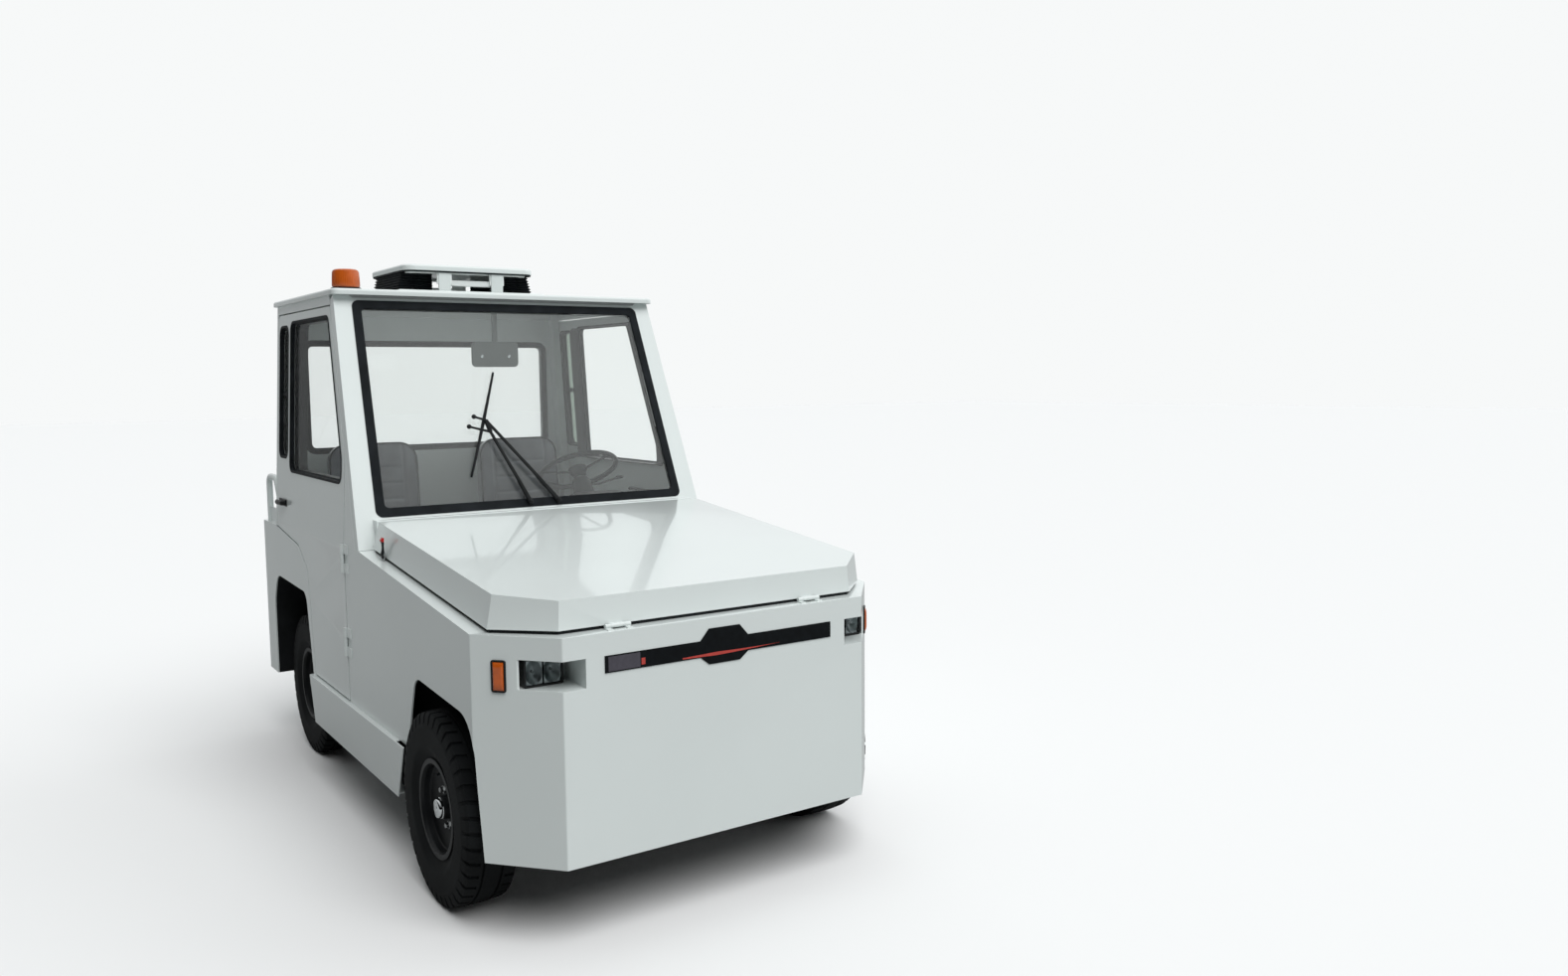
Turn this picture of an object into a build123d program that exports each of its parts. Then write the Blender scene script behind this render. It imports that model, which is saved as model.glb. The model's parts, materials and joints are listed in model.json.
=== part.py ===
from build123d import *
from math import atan, cos, degrees, hypot, radians, sin, sqrt, tan
import os

# Airport baggage tug with a closed two-seat cab, in millimetres.
# X points forward, Y to the driver's left, Z up. The ground is Z = 0, under the middle of the tug.

# Body
nose_x = 1650          # front face of the nose
body_rear_x = -1550    # rear panel of the body
body_half = 800        # half of the body's width
chamfer_run = 241      # size of the nose's chamfers along X
chamfer_rise = 208     # and along Y
chamfer_x = nose_x - chamfer_run
nose_y = body_half - chamfer_rise
nose_bottom = 262
rear_bottom = 330
sheet = 6              # plate of the nose, fenders and deck
bend = 8               # outer radius of the nose's bends
rim_rear_x = 177       # top rim of the nose: falls from here to the chamfer, then runs level
rim_rear_z = 1134
rim_front_z = 1008
rim_flange = 100       # width of the flange along the rim
door_gap = 6           # shut line round the doors

# Wheels and axles
front_overhang = 590   # from the front axle to the nose
rear_overhang = 530    # from the rear panel to the rear axle
front_axle_x = nose_x - front_overhang
rear_axle_x = body_rear_x + rear_overhang
tyre_radius = 338
tyre_width = 190
front_wheel_inset = 68 # from the body's side to the middle of the front tyres
rear_wheel_inset = 155
front_wheel_y = body_half - front_wheel_inset
rear_wheel_y = body_half - rear_wheel_inset
kingpin_offset = 122   # from the kingpin to the middle of the tyre
kingpin_y = front_wheel_y - kingpin_offset
kingpin_radius = 16
spindle_radius = 25
running = 0.06         # radial clearance of a running fit
seat_gap = 0.3         # between pieces that seat on each other
axle_z = tyre_radius

# Frame rails
rail_inset = 470       # from the body's side to the middle of a rail
rail_y = body_half - rail_inset
rail_width = 80
rail_bottom = 400
rail_top = 500

# Cab
cab_rear_x = -1262
cab_wall = 30
belt_z = rim_rear_z    # the cab's sides lean inwards above the belt
eaves_z = 2175
eaves_lean = 53        # how far the sides lean in up to the eaves
eaves_half = body_half - eaves_lean
door_front_x = -30     # shut line and hinge line of the doors
door_thick = 40
door_bottom = 480
sill_top = 474
sill_bottom = 266
sill_proud = 20        # the sills stand out past the doors
sill_width = 100
sill_out = body_half + sill_proud
sill_in = sill_out - sill_width
floor_z = 500
platform_z = 864       # top of the platform that carries the seats
floor_sheet = 6
floor_inset = 50
floor_half = body_half - floor_inset
seat_riser_x = -520
bulkhead_x = 130

# Windshield: the outer edge of its seal, on the front face of the windshield frame
shield_x = 137
shield_z = 1256
pillar_width = 90      # of the body's half width beside the windshield's foot
shield_taper = 35
shield_half_bottom = body_half - pillar_width
shield_half_top = shield_half_bottom - shield_taper
shield_rake = 22.1     # from the vertical
shield_length = 968
shield_frame = 60      # depth of the windshield frame
seal_width = 38
seal_proud = 4         # the seals stand out from the frame
glass_thick = 6


def rim_z(x):
    """Height of the nose's top rim at x."""
    share = (x - rim_rear_x) / (chamfer_x - rim_rear_x)
    share = min(max(share, 0), 1)
    return rim_rear_z + (rim_front_z - rim_rear_z) * share


def side_y(z):
    """Half width of the cab's outside at a height."""
    lean = (body_half - eaves_half) / (eaves_z - belt_z)
    return body_half - max(z - belt_z, 0) * lean


def outline(points, radii, mode=Mode.ADD):
    """Closed face with a radius of its own at each corner."""
    with BuildLine() as edge:
        FilletPolyline(*points, radius=radii, close=True)
    make_face(edge.edges(), mode=mode)


def side_plate(points, radii, y_low, y_high, mode=Mode.ADD):
    """Plate drawn in side view, from y_low to y_high."""
    with BuildSketch(Plane.XZ.offset(-y_high)) as face:
        outline(points, radii)
    extrude(face.sketch, amount=y_high - y_low, mode=mode)


def block(low, high, mode=Mode.ADD):
    """Plate or bar between two opposite corners."""
    middle = tuple((a + b) / 2 for a, b in zip(low, high))
    size = [b - a for a, b in zip(low, high)]
    with Locations(middle):
        Box(*size, mode=mode)


def rod_y(x, z, radius, y_low, y_high, mode=Mode.ADD):
    """Round bar along Y."""
    with BuildSketch(Plane.XZ.offset(-y_high)) as face:
        with Locations((x, z)):
            Circle(radius)
    extrude(face.sketch, amount=y_high - y_low, mode=mode)


def rod_z(x, y, radius, z_low, z_high, mode=Mode.ADD):
    """Round bar along Z."""
    with BuildSketch(Plane.XY.offset(z_low)) as face:
        with Locations((x, y)):
            Circle(radius)
    extrude(face.sketch, amount=z_high - z_low, mode=mode)


def nose_plan(inset, rear_x):
    """Plan of the nose with its chamfered corners, moved inwards by an inset."""
    run = nose_x - chamfer_x
    rise = body_half - nose_y
    across = rise / hypot(run, rise)
    along = run / hypot(run, rise)
    reach = across * chamfer_x + along * body_half - inset
    y_side = body_half - inset
    x_front = nose_x - inset
    corner_x = (reach - along * y_side) / across
    corner_y = (reach - across * x_front) / along
    left = [(rear_x, y_side), (corner_x, y_side), (x_front, corner_y)]
    return left + [(x, -y) for x, y in reversed(left)]


def side_section(inset, thick, z_low, z_high):
    """Section of the cab's side seen along X: upright to the belt, then leaning inwards."""
    heights = [z_low, belt_z, z_high] if z_low < belt_z < z_high else [z_low, z_high]
    outer = [(side_y(z) - inset, z) for z in heights]
    inner = [(y - thick, z) for y, z in reversed(outer)]
    return outer + inner


def mirrored(source):
    """The same piece on the other side of the tug."""
    with BuildPart() as twin:
        mirror(source.part, about=Plane.XZ)
    return twin


pieces = {}

# Nose: front plate, chamfers and side plates, with the rim flange that carries the hood
arch_offsets = [       # from the front axle along X, height
    (-416, nose_bottom - 60), (-326, 468), (-218, 757), (348, 728), (358, 500), (374, nose_bottom - 60),
]
front_arch = [(front_axle_x + x, z) for x, z in arch_offsets]
front_arch_radii = [0, 120, 75, 130, 200, 0]
nose_rear_x = door_front_x + door_gap
lamp_bottom = 838
lamp_top = 933
lamp_inner_y = nose_y - 79
lamp_depth_x = nose_x - 119    # the lamp recess starts here on the chamfer
rim_line = [
    (nose_rear_x - 100, rim_rear_z), (rim_rear_x, rim_rear_z),
    (chamfer_x, rim_front_z), (nose_x + 100, rim_front_z),
]

with BuildPart() as nose_shell:
    with BuildSketch(Plane.XY.offset(nose_bottom)):
        outline(nose_plan(0, nose_rear_x), [0, bend, bend, bend, bend, 0])
        inner_bend = bend - sheet
        outline(
            nose_plan(sheet, nose_rear_x - 1),
            [0, inner_bend, inner_bend, inner_bend, inner_bend, 0], mode=Mode.SUBTRACT,
        )
    extrude(amount=rim_rear_z - nose_bottom)
    with BuildSketch(Plane.XZ):
        outline(rim_line + [(nose_x + 100, 1400), (nose_rear_x - 100, 1400)], [0] * 6)
    extrude(amount=body_half + 50, both=True, mode=Mode.SUBTRACT)
    with BuildSketch(Plane.XZ):
        outline(front_arch, front_arch_radii)
    extrude(amount=body_half + 50, both=True, mode=Mode.SUBTRACT)
    block(
        (nose_rear_x - 50, -body_half - 50, 0), (front_arch[1][0] + 40, body_half + 50, sill_top),
        mode=Mode.SUBTRACT,
    )
    for side in (1, -1):
        ends = sorted((side * lamp_inner_y, side * body_half))
        block(
            (lamp_depth_x, ends[0], lamp_bottom), (nose_x + 10, ends[1], lamp_top), mode=Mode.SUBTRACT
        )

with BuildPart() as rim:
    with BuildSketch(Plane.XZ):
        upper = rim_line[1:3] + [(nose_x, rim_front_z)]
        outline(upper + [(x, z - sheet) for x, z in reversed(upper)], [0] * 6)
    extrude(amount=body_half, both=True)
    with BuildSketch(Plane.XY):
        outline(nose_plan(sheet, rim_rear_x), [0] * 6)
        outline(nose_plan(rim_flange, rim_rear_x - 1), [0] * 6, mode=Mode.SUBTRACT)
    extrude(amount=1400, mode=Mode.INTERSECT)


# Front arch liners: boxes open towards the outside and below, wide enough for the steered wheels
liner = 3
front_liner = (        # x from, x to, inner y, top
    front_axle_x - 428, front_axle_x + 424, kingpin_y - 165, 767,
)
liner_bottom = 300
liner_sill = 405       # the inner walls end above the axle
liner_out = body_half - sheet - seat_gap

with BuildPart() as front_liners:
    x_low, x_high, y_in, top = front_liner
    block((x_low, y_in, liner_bottom), (x_high, liner_out, top))
    block(
        (x_low + liner, y_in + liner, 0), (x_high - liner, body_half + 50, top - liner),
        mode=Mode.SUBTRACT,
    )
    block(
        (x_low + liner, y_in - 10, 0), (x_high - liner, y_in + liner + 1, liner_sill),
        mode=Mode.SUBTRACT,
    )
    with BuildSketch(Plane.XY):
        outline(nose_plan(sheet + seat_gap, body_rear_x), [0] * 6)
    extrude(amount=1400, mode=Mode.INTERSECT)

# Rear arch liners: sheets that follow the arch's edge, with a wall round the brake drum
rear_arch_offsets = [  # from the rear axle along X, height
    (384, sill_top), (304, 838), (-280, 850), (-360, 700), (-360, rear_bottom),
]
rear_arch = [(rear_axle_x + x, z) for x, z in rear_arch_offsets]
rear_arch_radii = [0, 70, 110, 120, 0]
rear_liner_in = rear_wheel_y - 120
drum_radius = 120

with BuildPart() as rear_liners:
    with BuildSketch(Plane.XZ.offset(-liner_out)):
        outline(rear_arch, rear_arch_radii)
        offset(amount=liner)
        outline(rear_arch, rear_arch_radii, mode=Mode.SUBTRACT)
    extrude(amount=liner_out - rear_liner_in)
    side_plate(rear_arch, rear_arch_radii, rear_liner_in, rear_liner_in + liner)
    rod_y(
        rear_axle_x, axle_z, drum_radius + 12, rear_liner_in - 10, rear_liner_in + 10,
        mode=Mode.SUBTRACT,
    )
    block(
        (body_rear_x, rear_liner_in - 10, 0), (0, rear_liner_in + liner + 1, liner_sill),
        mode=Mode.SUBTRACT,
    )
    side_plate(
        [(body_rear_x, rear_bottom), (rear_arch[-1][0], rear_bottom), (rear_arch[0][0] + 30, sill_top + 6),
         (0, sill_top), (0, 0), (body_rear_x, 0)],
        [0] * 6, rear_liner_in - 10, body_half + 10, mode=Mode.SUBTRACT,
    )

with BuildPart() as arch_liners:
    for liners in (front_liners, rear_liners):
        add(liners.part)
        mirror(liners.part, about=Plane.XZ)
pieces["arch_liners"] = arch_liners

# Sills: folded channels that stand out below the doors and run on to the front arches
sill_ends = [
    (rear_arch[0][0] + 76, sill_bottom), (front_axle_x - 406, sill_bottom),
    (front_axle_x - 322, sill_top), (rear_arch[0][0] + 2, sill_top),
]

with BuildPart() as sill_steps:
    side_plate(sill_ends, [0] * 4, sill_in, sill_out)
    block(
        (sill_ends[3][0] - 60, sill_in - 1, sill_bottom + sheet),
        (sill_ends[2][0] + 60, sill_out - sheet, sill_top - sheet), mode=Mode.SUBTRACT,
    )
    block(
        (front_liner[0] - seat_gap, sill_in - 1, 0), (front_liner[0] + 200, sill_out - sheet, sill_top + 1),
        mode=Mode.SUBTRACT,
    )
    mirror(about=Plane.XZ)
pieces["sill_steps"] = sill_steps

# Chassis frame: two box rails, cross members and outriggers to the sills
cross_members = [      # x, depth along X
    (nose_x - 60, 100), (front_axle_x - 520, 60), (rear_axle_x + 600, 60), (body_rear_x + 50, 80),
]
outriggers = [front_axle_x - 460, 0, rear_axle_x + 540]
outrigger_thick = 10
outrigger_top = 468
tow_eye_radius = 16
tow_eye_x = nose_x - 50
tow_eye_thick = 20

with BuildPart() as chassis_frame:
    for side in (1, -1):
        y = side * rail_y
        block(
            (body_rear_x + sheet, y - rail_width / 2, rail_bottom),
            (nose_x - sheet, y + rail_width / 2, rail_top),
        )
    for x, depth in cross_members:
        block((x - depth / 2, -rail_y, rail_bottom), (x + depth / 2, rail_y, rail_top))
    for x in outriggers:
        block(
            (x - outrigger_thick / 2, -sill_out + sheet, rail_bottom),
            (x + outrigger_thick / 2, sill_out - sheet, outrigger_top),
        )
    block((nose_x - 60, -60, nose_bottom), (nose_x - sheet - 20, -44, rail_bottom))
    block((nose_x - 60, 44, nose_bottom), (nose_x - sheet - 20, 60, rail_bottom))
    block((tow_eye_x - 60, -60, nose_bottom), (nose_x - sheet, 60, nose_bottom + tow_eye_thick))
    rod_z(tow_eye_x - 15, 0, tow_eye_radius, 0, nose_bottom + 60, mode=Mode.SUBTRACT)
pieces["chassis_frame"] = chassis_frame

# Battery pack: one plain block on the rails between the front arches
battery_half = front_liner[2] - 30
battery_rear = 270     # from the bulkhead to the pack
battery_front = 220    # from the pack to the nose
battery_top = 975
battery_low = (bulkhead_x + battery_rear, -battery_half, rail_top)
battery_high = (nose_x - battery_front, battery_half, battery_top)

with BuildPart() as battery_pack:
    block(battery_low, battery_high)
pieces["battery_pack"] = battery_pack

# Cab floor: a folded sheet from the toe board over the floor and up to the seat platform, with the
# bulkhead against the battery bay and the frames that carry the seats
seat_y = floor_half - 370
seat_frame_top = 930
bulkhead_half = body_half - sheet - seat_gap
floor_line = [
    (cab_rear_x + cab_wall, platform_z), (seat_riser_x, platform_z), (seat_riser_x, floor_z + floor_sheet),
    (20, floor_z + floor_sheet), (bulkhead_x - 1, 700),
]

with BuildPart() as cab_floor:
    under = [
        (bulkhead_x - 1, 700 - floor_sheet * 2), (20 + floor_sheet / 2, floor_z),
        (seat_riser_x - floor_sheet, floor_z), (seat_riser_x - floor_sheet, platform_z - floor_sheet),
        (cab_rear_x + cab_wall, platform_z - floor_sheet),
    ]
    side_plate(floor_line + under, [0] * 10, -floor_half, floor_half)
    block(
        (bulkhead_x - floor_sheet, -bulkhead_half, rail_top),
        (bulkhead_x, bulkhead_half, belt_z - seat_gap),
    )
    for y in (-seat_y, seat_y):
        for rail in (y - 160, y + 160):
            block((-940, rail - 16, platform_z), (-540, rail + 16, platform_z + 30))
        block((-900, y - 180, platform_z + 30), (-560, y + 180, seat_frame_top))
pieces["cab_floor"] = cab_floor

# Rear body: fenders, the deck behind the cab with its hoops, and the rear panel
fender_line = [        # the edge that the door's lower rear corner follows
    (cab_rear_x + cab_wall, 1096), (rear_axle_x + 190, 1046), (rear_axle_x + 344, 953),
    (rear_axle_x + 374, 817), (rear_axle_x + 420, sill_top),
]
fender_radii = [0, 70, 60, 60, 0]
deck_top = fender_line[0][1] + sheet
fender_shelf = 46      # width of the shelf under the door

# Guard hoops on the deck behind the cab, each with a low side board
hoop_tube = 15
hoop_y = body_half - 30
hoop_rear_x = body_rear_x + 30
hoop_front_x = cab_rear_x - 38
hoop_top = 1330
with BuildPart() as deck_hoops:
    with BuildLine(Plane.XZ.offset(-hoop_y)) as hoop_path:
        FilletPolyline(
            (hoop_rear_x, deck_top - 2), (hoop_rear_x, hoop_top), (hoop_front_x - 60, hoop_top),
            (hoop_front_x, hoop_top - 90), (hoop_front_x, deck_top - 2),
            radius=(45, 55, 55),
        )
    with BuildSketch(Plane.XY.offset(deck_top - 2)):
        with Locations((hoop_rear_x, hoop_y)):
            Circle(hoop_tube)
    sweep()
    block(
        (hoop_rear_x, hoop_y - 4, deck_top - 2), (hoop_front_x, hoop_y + 4, deck_top + 72)
    )

with BuildPart() as rear_body:
    side_plate(
        [(body_rear_x, rear_bottom), (body_rear_x, fender_line[0][1])] + fender_line + rear_arch,
        [0, 0] + fender_radii + rear_arch_radii,
        body_half - sheet, body_half,
    )
    shelf = fender_line[:3]
    side_plate(
        shelf + [(x - sheet / 2, z - sheet) for x, z in shelf[:0:-1]] + [(shelf[0][0], shelf[0][1] - sheet)],
        [0, 70, 0, 0, 70 - sheet, 0],
        body_half - sheet - fender_shelf, body_half - sheet,
    )
    side_plate(
        [(shelf[0][0], platform_z), (shelf[2][0] - 20, platform_z), (shelf[2][0] - 20, shelf[2][1]),
         (shelf[1][0], shelf[1][1] - sheet), (shelf[0][0], shelf[0][1] - sheet)],
        [0] * 5,
        floor_half + seat_gap, floor_half + seat_gap + sheet,
    )
    add(deck_hoops.part)
    mirror(about=Plane.XZ)
    block(
        (body_rear_x, -body_half, fender_line[0][1]), (cab_rear_x, body_half, deck_top)
    )
    block(
        (body_rear_x, -body_half + sheet, rear_bottom),
        (body_rear_x + sheet, body_half - sheet, fender_line[0][1]),
    )
pieces["rear_body"] = rear_body

# Rear wall of the cab with its window
rear_window_half = eaves_half - 99
rear_window_bottom = 1446
rear_window_top = 2014
rear_seal = 30

with BuildPart() as rear_wall:
    with BuildSketch(Plane.YZ.offset(cab_rear_x)):
        half = [(body_half - sheet - 4, platform_z), (body_half - sheet - 4, deck_top),
                (body_half, deck_top), (body_half, belt_z), (eaves_half, eaves_z)]
        outline(half + [(-y, z) for y, z in reversed(half)], [0] * 10)
        with Locations((0, (rear_window_bottom + rear_window_top) / 2)):
            RectangleRounded(
                2 * rear_window_half, rear_window_top - rear_window_bottom, 50, mode=Mode.SUBTRACT
            )
    extrude(amount=cab_wall)
pieces["rear_wall"] = rear_wall

# Cab frame: windshield frame with the cowl at its foot, gussets, hinge posts, roof rails, rear posts
shield = Plane(
    origin=(shield_x, 0, shield_z),
    x_dir=(0, 1, 0),
    z_dir=(cos(radians(shield_rake)), 0, sin(radians(shield_rake))),
)
shield_foot = (belt_z - shield_z) / cos(radians(shield_rake))
shield_head = (eaves_z - shield_z) / cos(radians(shield_rake))
rail_depth = 40        # height of the roof rails over the doors
post_x = 55            # width of the rear posts
door_top = eaves_z - rail_depth - door_gap


def shield_corners(inset):
    """Corners of the windshield opening, moved inwards by an inset."""
    low, high = inset, shield_length - inset
    lean = (shield_half_bottom - shield_half_top) / shield_length
    y_low = shield_half_bottom - inset - low * lean
    y_high = shield_half_bottom - inset - high * lean
    return [(y_low, low), (y_high, high), (-y_high, high), (-y_low, low)]


def frame_back_x(z):
    """Where the rear face of the windshield frame is at a height."""
    rake = radians(shield_rake)
    back_x = shield_x - shield_frame * cos(rake)
    back_z = shield_z - shield_frame * sin(rake)
    return back_x - (z - back_z) * sin(rake) / cos(rake)


def frame_back_z(x):
    """How high the rear face of the windshield frame is at x."""
    fall = cos(radians(shield_rake)) / sin(radians(shield_rake))
    return belt_z + (frame_back_x(belt_z) - x) * fall


with BuildPart() as cab_side:
    with BuildSketch(Plane.XZ.offset(-body_half - 10)):
        gusset_top = frame_back_z(nose_rear_x)
        outline(
            [(nose_rear_x, belt_z), (frame_back_x(belt_z) + 8, belt_z), (nose_rear_x + 8, gusset_top),
             (nose_rear_x, gusset_top)],
            [0] * 4,
        )
        outline(
            [(cab_rear_x + cab_wall, door_top + door_gap), (frame_back_x(door_top) + 8, door_top + door_gap),
             (frame_back_x(eaves_z) + 8, eaves_z), (cab_rear_x + cab_wall, eaves_z)],
            [0] * 4,
        )
    extrude(amount=160)
    with BuildSketch(Plane.YZ.offset(cab_rear_x)):
        outline(side_section(0, door_thick, belt_z, eaves_z), [0] * 4)
    extrude(amount=1600, mode=Mode.INTERSECT)

with BuildPart() as cab_post:
    with BuildSketch(Plane.YZ.offset(cab_rear_x + cab_wall)):
        post_foot = fender_line[0][1] + seat_gap
        outline(side_section(door_thick + door_gap, door_thick, post_foot, eaves_z), [0] * 6)
    extrude(amount=post_x)

hood_rear_x = 197
cowl_front_x = hood_rear_x - door_gap
cowl_top = shield_z - 6
cowl_half = body_half - 75

with BuildPart() as cab_frame:
    with BuildSketch(shield):
        outline(
            [(side_y(belt_z), shield_foot), (side_y(eaves_z), shield_head),
             (-side_y(eaves_z), shield_head), (-side_y(belt_z), shield_foot)],
            [0] * 4,
        )
        outline(shield_corners(0), [30] * 4, mode=Mode.SUBTRACT)
    extrude(amount=-shield_frame)
    block((-1000, -body_half - 10, 0), (1000, body_half + 10, belt_z), mode=Mode.SUBTRACT)
    side_plate(
        [(shield_x, belt_z), (cowl_front_x, belt_z), (cowl_front_x, cowl_top), (shield_x - 7, cowl_top)],
        [0, 0, 4, 0], -cowl_half, cowl_half,
    )
    for twin in (cab_side, cab_post):
        add(twin.part)
        mirror(twin.part, about=Plane.XZ)
    hinge_post = (nose_rear_x, body_half - sheet - door_thick, sill_top), (
        nose_rear_x + 50, body_half - sheet, belt_z + 20)
    block(*hinge_post)
    block(
        (hinge_post[0][0], -hinge_post[1][1], hinge_post[0][2]),
        (hinge_post[1][0], -hinge_post[0][1], hinge_post[1][2]),
    )
    block(
        (cab_rear_x + cab_wall, -eaves_half + 20, eaves_z - rail_depth),
        (cab_rear_x + cab_wall + rail_depth, eaves_half - 20, eaves_z),
    )
    block(
        (-2000, -1000, eaves_z), (2000, 1000, eaves_z + 200), mode=Mode.SUBTRACT
    )
pieces["cab_frame"] = cab_frame

# Roof panel with the hatch opening
roof_front_x = -195
roof_rear_x = -1300
roof_half = eaves_half + 15
roof_thick = 26
hatch_x = -880
hatch_hole = (500, 560)

with BuildPart() as roof_panel:
    with BuildSketch(Plane.XY.offset(eaves_z)):
        with Locations(((roof_front_x + roof_rear_x) / 2, 0)):
            RectangleRounded(roof_front_x - roof_rear_x, 2 * roof_half, 30)
    extrude(amount=roof_thick)
    fillet(roof_panel.edges().group_by(Axis.Z)[-1], 12)
    with BuildSketch(Plane.XY.offset(eaves_z - 1)):
        with Locations((hatch_x, 0)):
            RectangleRounded(*hatch_hole, 40)
    extrude(amount=roof_thick + 2, mode=Mode.SUBTRACT)
pieces["roof_panel"] = roof_panel

# Glass and its seals
with BuildPart() as cab_glass:
    with BuildSketch(shield.offset(-12)):
        outline(shield_corners(seal_width + seat_gap), [20] * 4)
    extrude(amount=glass_thick)
    with BuildSketch(Plane.YZ.offset(cab_rear_x + 12)):
        with Locations((0, (rear_window_bottom + rear_window_top) / 2)):
            RectangleRounded(
                2 * (rear_window_half - rear_seal - seat_gap),
                rear_window_top - rear_window_bottom - 2 * (rear_seal + seat_gap), 25,
            )
    extrude(amount=glass_thick)
pieces["cab_glass"] = cab_glass

with BuildPart() as glass_seals:
    with BuildSketch(shield.offset(-20)):
        outline(shield_corners(seat_gap), [30] * 4)
        outline(shield_corners(seal_width), [20] * 4, mode=Mode.SUBTRACT)
    extrude(amount=24)
    with BuildSketch(Plane.YZ.offset(cab_rear_x - 4)):
        with Locations((0, (rear_window_bottom + rear_window_top) / 2)):
            RectangleRounded(
                2 * (rear_window_half - seat_gap), rear_window_top - rear_window_bottom - 2 * seat_gap, 50
            )
            RectangleRounded(
                2 * (rear_window_half - rear_seal),
                rear_window_top - rear_window_bottom - 2 * rear_seal, 25, mode=Mode.SUBTRACT,
            )
    extrude(amount=cab_wall + 6)

# Doors: each fills the cab's side from the hinge line to the rear wall, cut round the fender
door_rear_x = cab_rear_x + cab_wall + door_gap
pillar_top_x = frame_back_x(door_top) - door_gap
pillar_low_z = frame_back_z(door_front_x)
door_outline = [
    (door_front_x - door_gap, door_bottom), (door_front_x - door_gap, pillar_low_z),
    (pillar_top_x, door_top), (door_rear_x, door_top),
] + [(x + door_gap, z + door_gap) for x, z in fender_line[:-1]] + [
    (fender_line[-1][0] + door_gap, door_bottom),
]
door_radii = [0, 30, 20, 30] + [0, 70, 60, 60] + [0]
window_bottom = 1390
window_top = 2085
window_rear_x = -975
window_margin = 46
window = [
    (door_front_x - door_gap - window_margin, window_bottom),
    (door_front_x - door_gap - window_margin, pillar_low_z - 18),
    (frame_back_x(window_top) - door_gap - window_margin, window_top),
    (window_rear_x, window_top), (window_rear_x, window_bottom),
]
quarter_window = [
    (-1030, 1450), (-1030, 2070), (-1190, 2070), (-1190, 1450),
]
hinge_y = body_half + 8
hinge_heights = (730, 1080)
hinge_radius = 8
hinge_pin = 4
hinge_knuckle = 39.4   # length of the door's knuckle
hinge_length = 120

with BuildPart() as door_left:
    side_plate(door_outline, door_radii, eaves_half - 100, body_half + 10)
    with BuildSketch(Plane.YZ.offset(cab_rear_x)):
        outline(side_section(0, door_thick, door_bottom - 10, door_top + 10), [0] * 6)
    extrude(amount=1600, mode=Mode.INTERSECT)
    side_plate(window, [40] * 5, eaves_half - 100, body_half + 10, mode=Mode.SUBTRACT)
    side_plate(quarter_window, [40] * 4, eaves_half - 100, body_half + 10, mode=Mode.SUBTRACT)
    for z in hinge_heights:
        rod_z(door_front_x, hinge_y, hinge_radius, z - hinge_knuckle / 2, z + hinge_knuckle / 2)
        block(
            (door_front_x - 60, body_half - 1, z - hinge_knuckle / 2),
            (door_front_x - 4, body_half + 4, z + hinge_knuckle / 2),
        )
        rod_z(door_front_x, hinge_y, hinge_pin + running, z - 100, z + 100, mode=Mode.SUBTRACT)
pieces["door_left"] = door_left
pieces["door_right"] = mirrored(door_left)

with BuildPart() as door_glass_left:
    side_plate(
        [(x + (seat_gap if x < -500 else -seat_gap), z + (seat_gap if z < 1500 else -seat_gap))
         for x, z in window],
        [40 - seat_gap] * 5, eaves_half - 100, body_half + 10,
    )
    side_plate(
        [(x + (seat_gap if x < -1100 else -seat_gap), z + (seat_gap if z < 1500 else -seat_gap))
         for x, z in quarter_window],
        [40 - seat_gap] * 4, eaves_half - 100, body_half + 10,
    )
    with BuildSketch(Plane.YZ.offset(cab_rear_x)):
        outline(side_section(16, glass_thick, belt_z, door_top), [0] * 4)
    extrude(amount=1600, mode=Mode.INTERSECT)
pieces["door_glass_left"] = door_glass_left
pieces["door_glass_right"] = mirrored(door_glass_left)

handle_x = -1110
handle_z = 1228
with BuildPart() as door_handle_left:
    y_skin = side_y(handle_z) + seat_gap
    with BuildSketch(Plane.XZ.offset(-y_skin - 1)):
        with Locations((handle_x, handle_z)):
            RectangleRounded(150, 34, 12)
    extrude(amount=-5)
    with BuildSketch(Plane.XZ.offset(-y_skin - 20)):
        with Locations((handle_x + 5, handle_z + 4)):
            RectangleRounded(135, 22, 10)
    extrude(amount=-10)
    rod_y(handle_x - 52, handle_z + 2, 13, y_skin + 1, y_skin + 24)
pieces["door_handle_left"] = door_handle_left
pieces["door_handle_right"] = mirrored(door_handle_left)

# Body halves of the door hinges, with their pins
with BuildPart() as door_hinges:
    for z in hinge_heights:
        for z_low in (z - hinge_length / 2, z + hinge_knuckle / 2 + seat_gap):
            z_high = z_low + (hinge_length - hinge_knuckle) / 2 - seat_gap
            rod_z(door_front_x, hinge_y, hinge_radius, z_low, z_high)
            block(
                (door_front_x + 4, body_half + 0, z_low), (door_front_x + 60, body_half + 4, z_high)
            )
        rod_z(door_front_x, hinge_y, hinge_pin, z - hinge_length / 2, z + hinge_length / 2)
    mirror(about=Plane.XZ)

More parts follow.
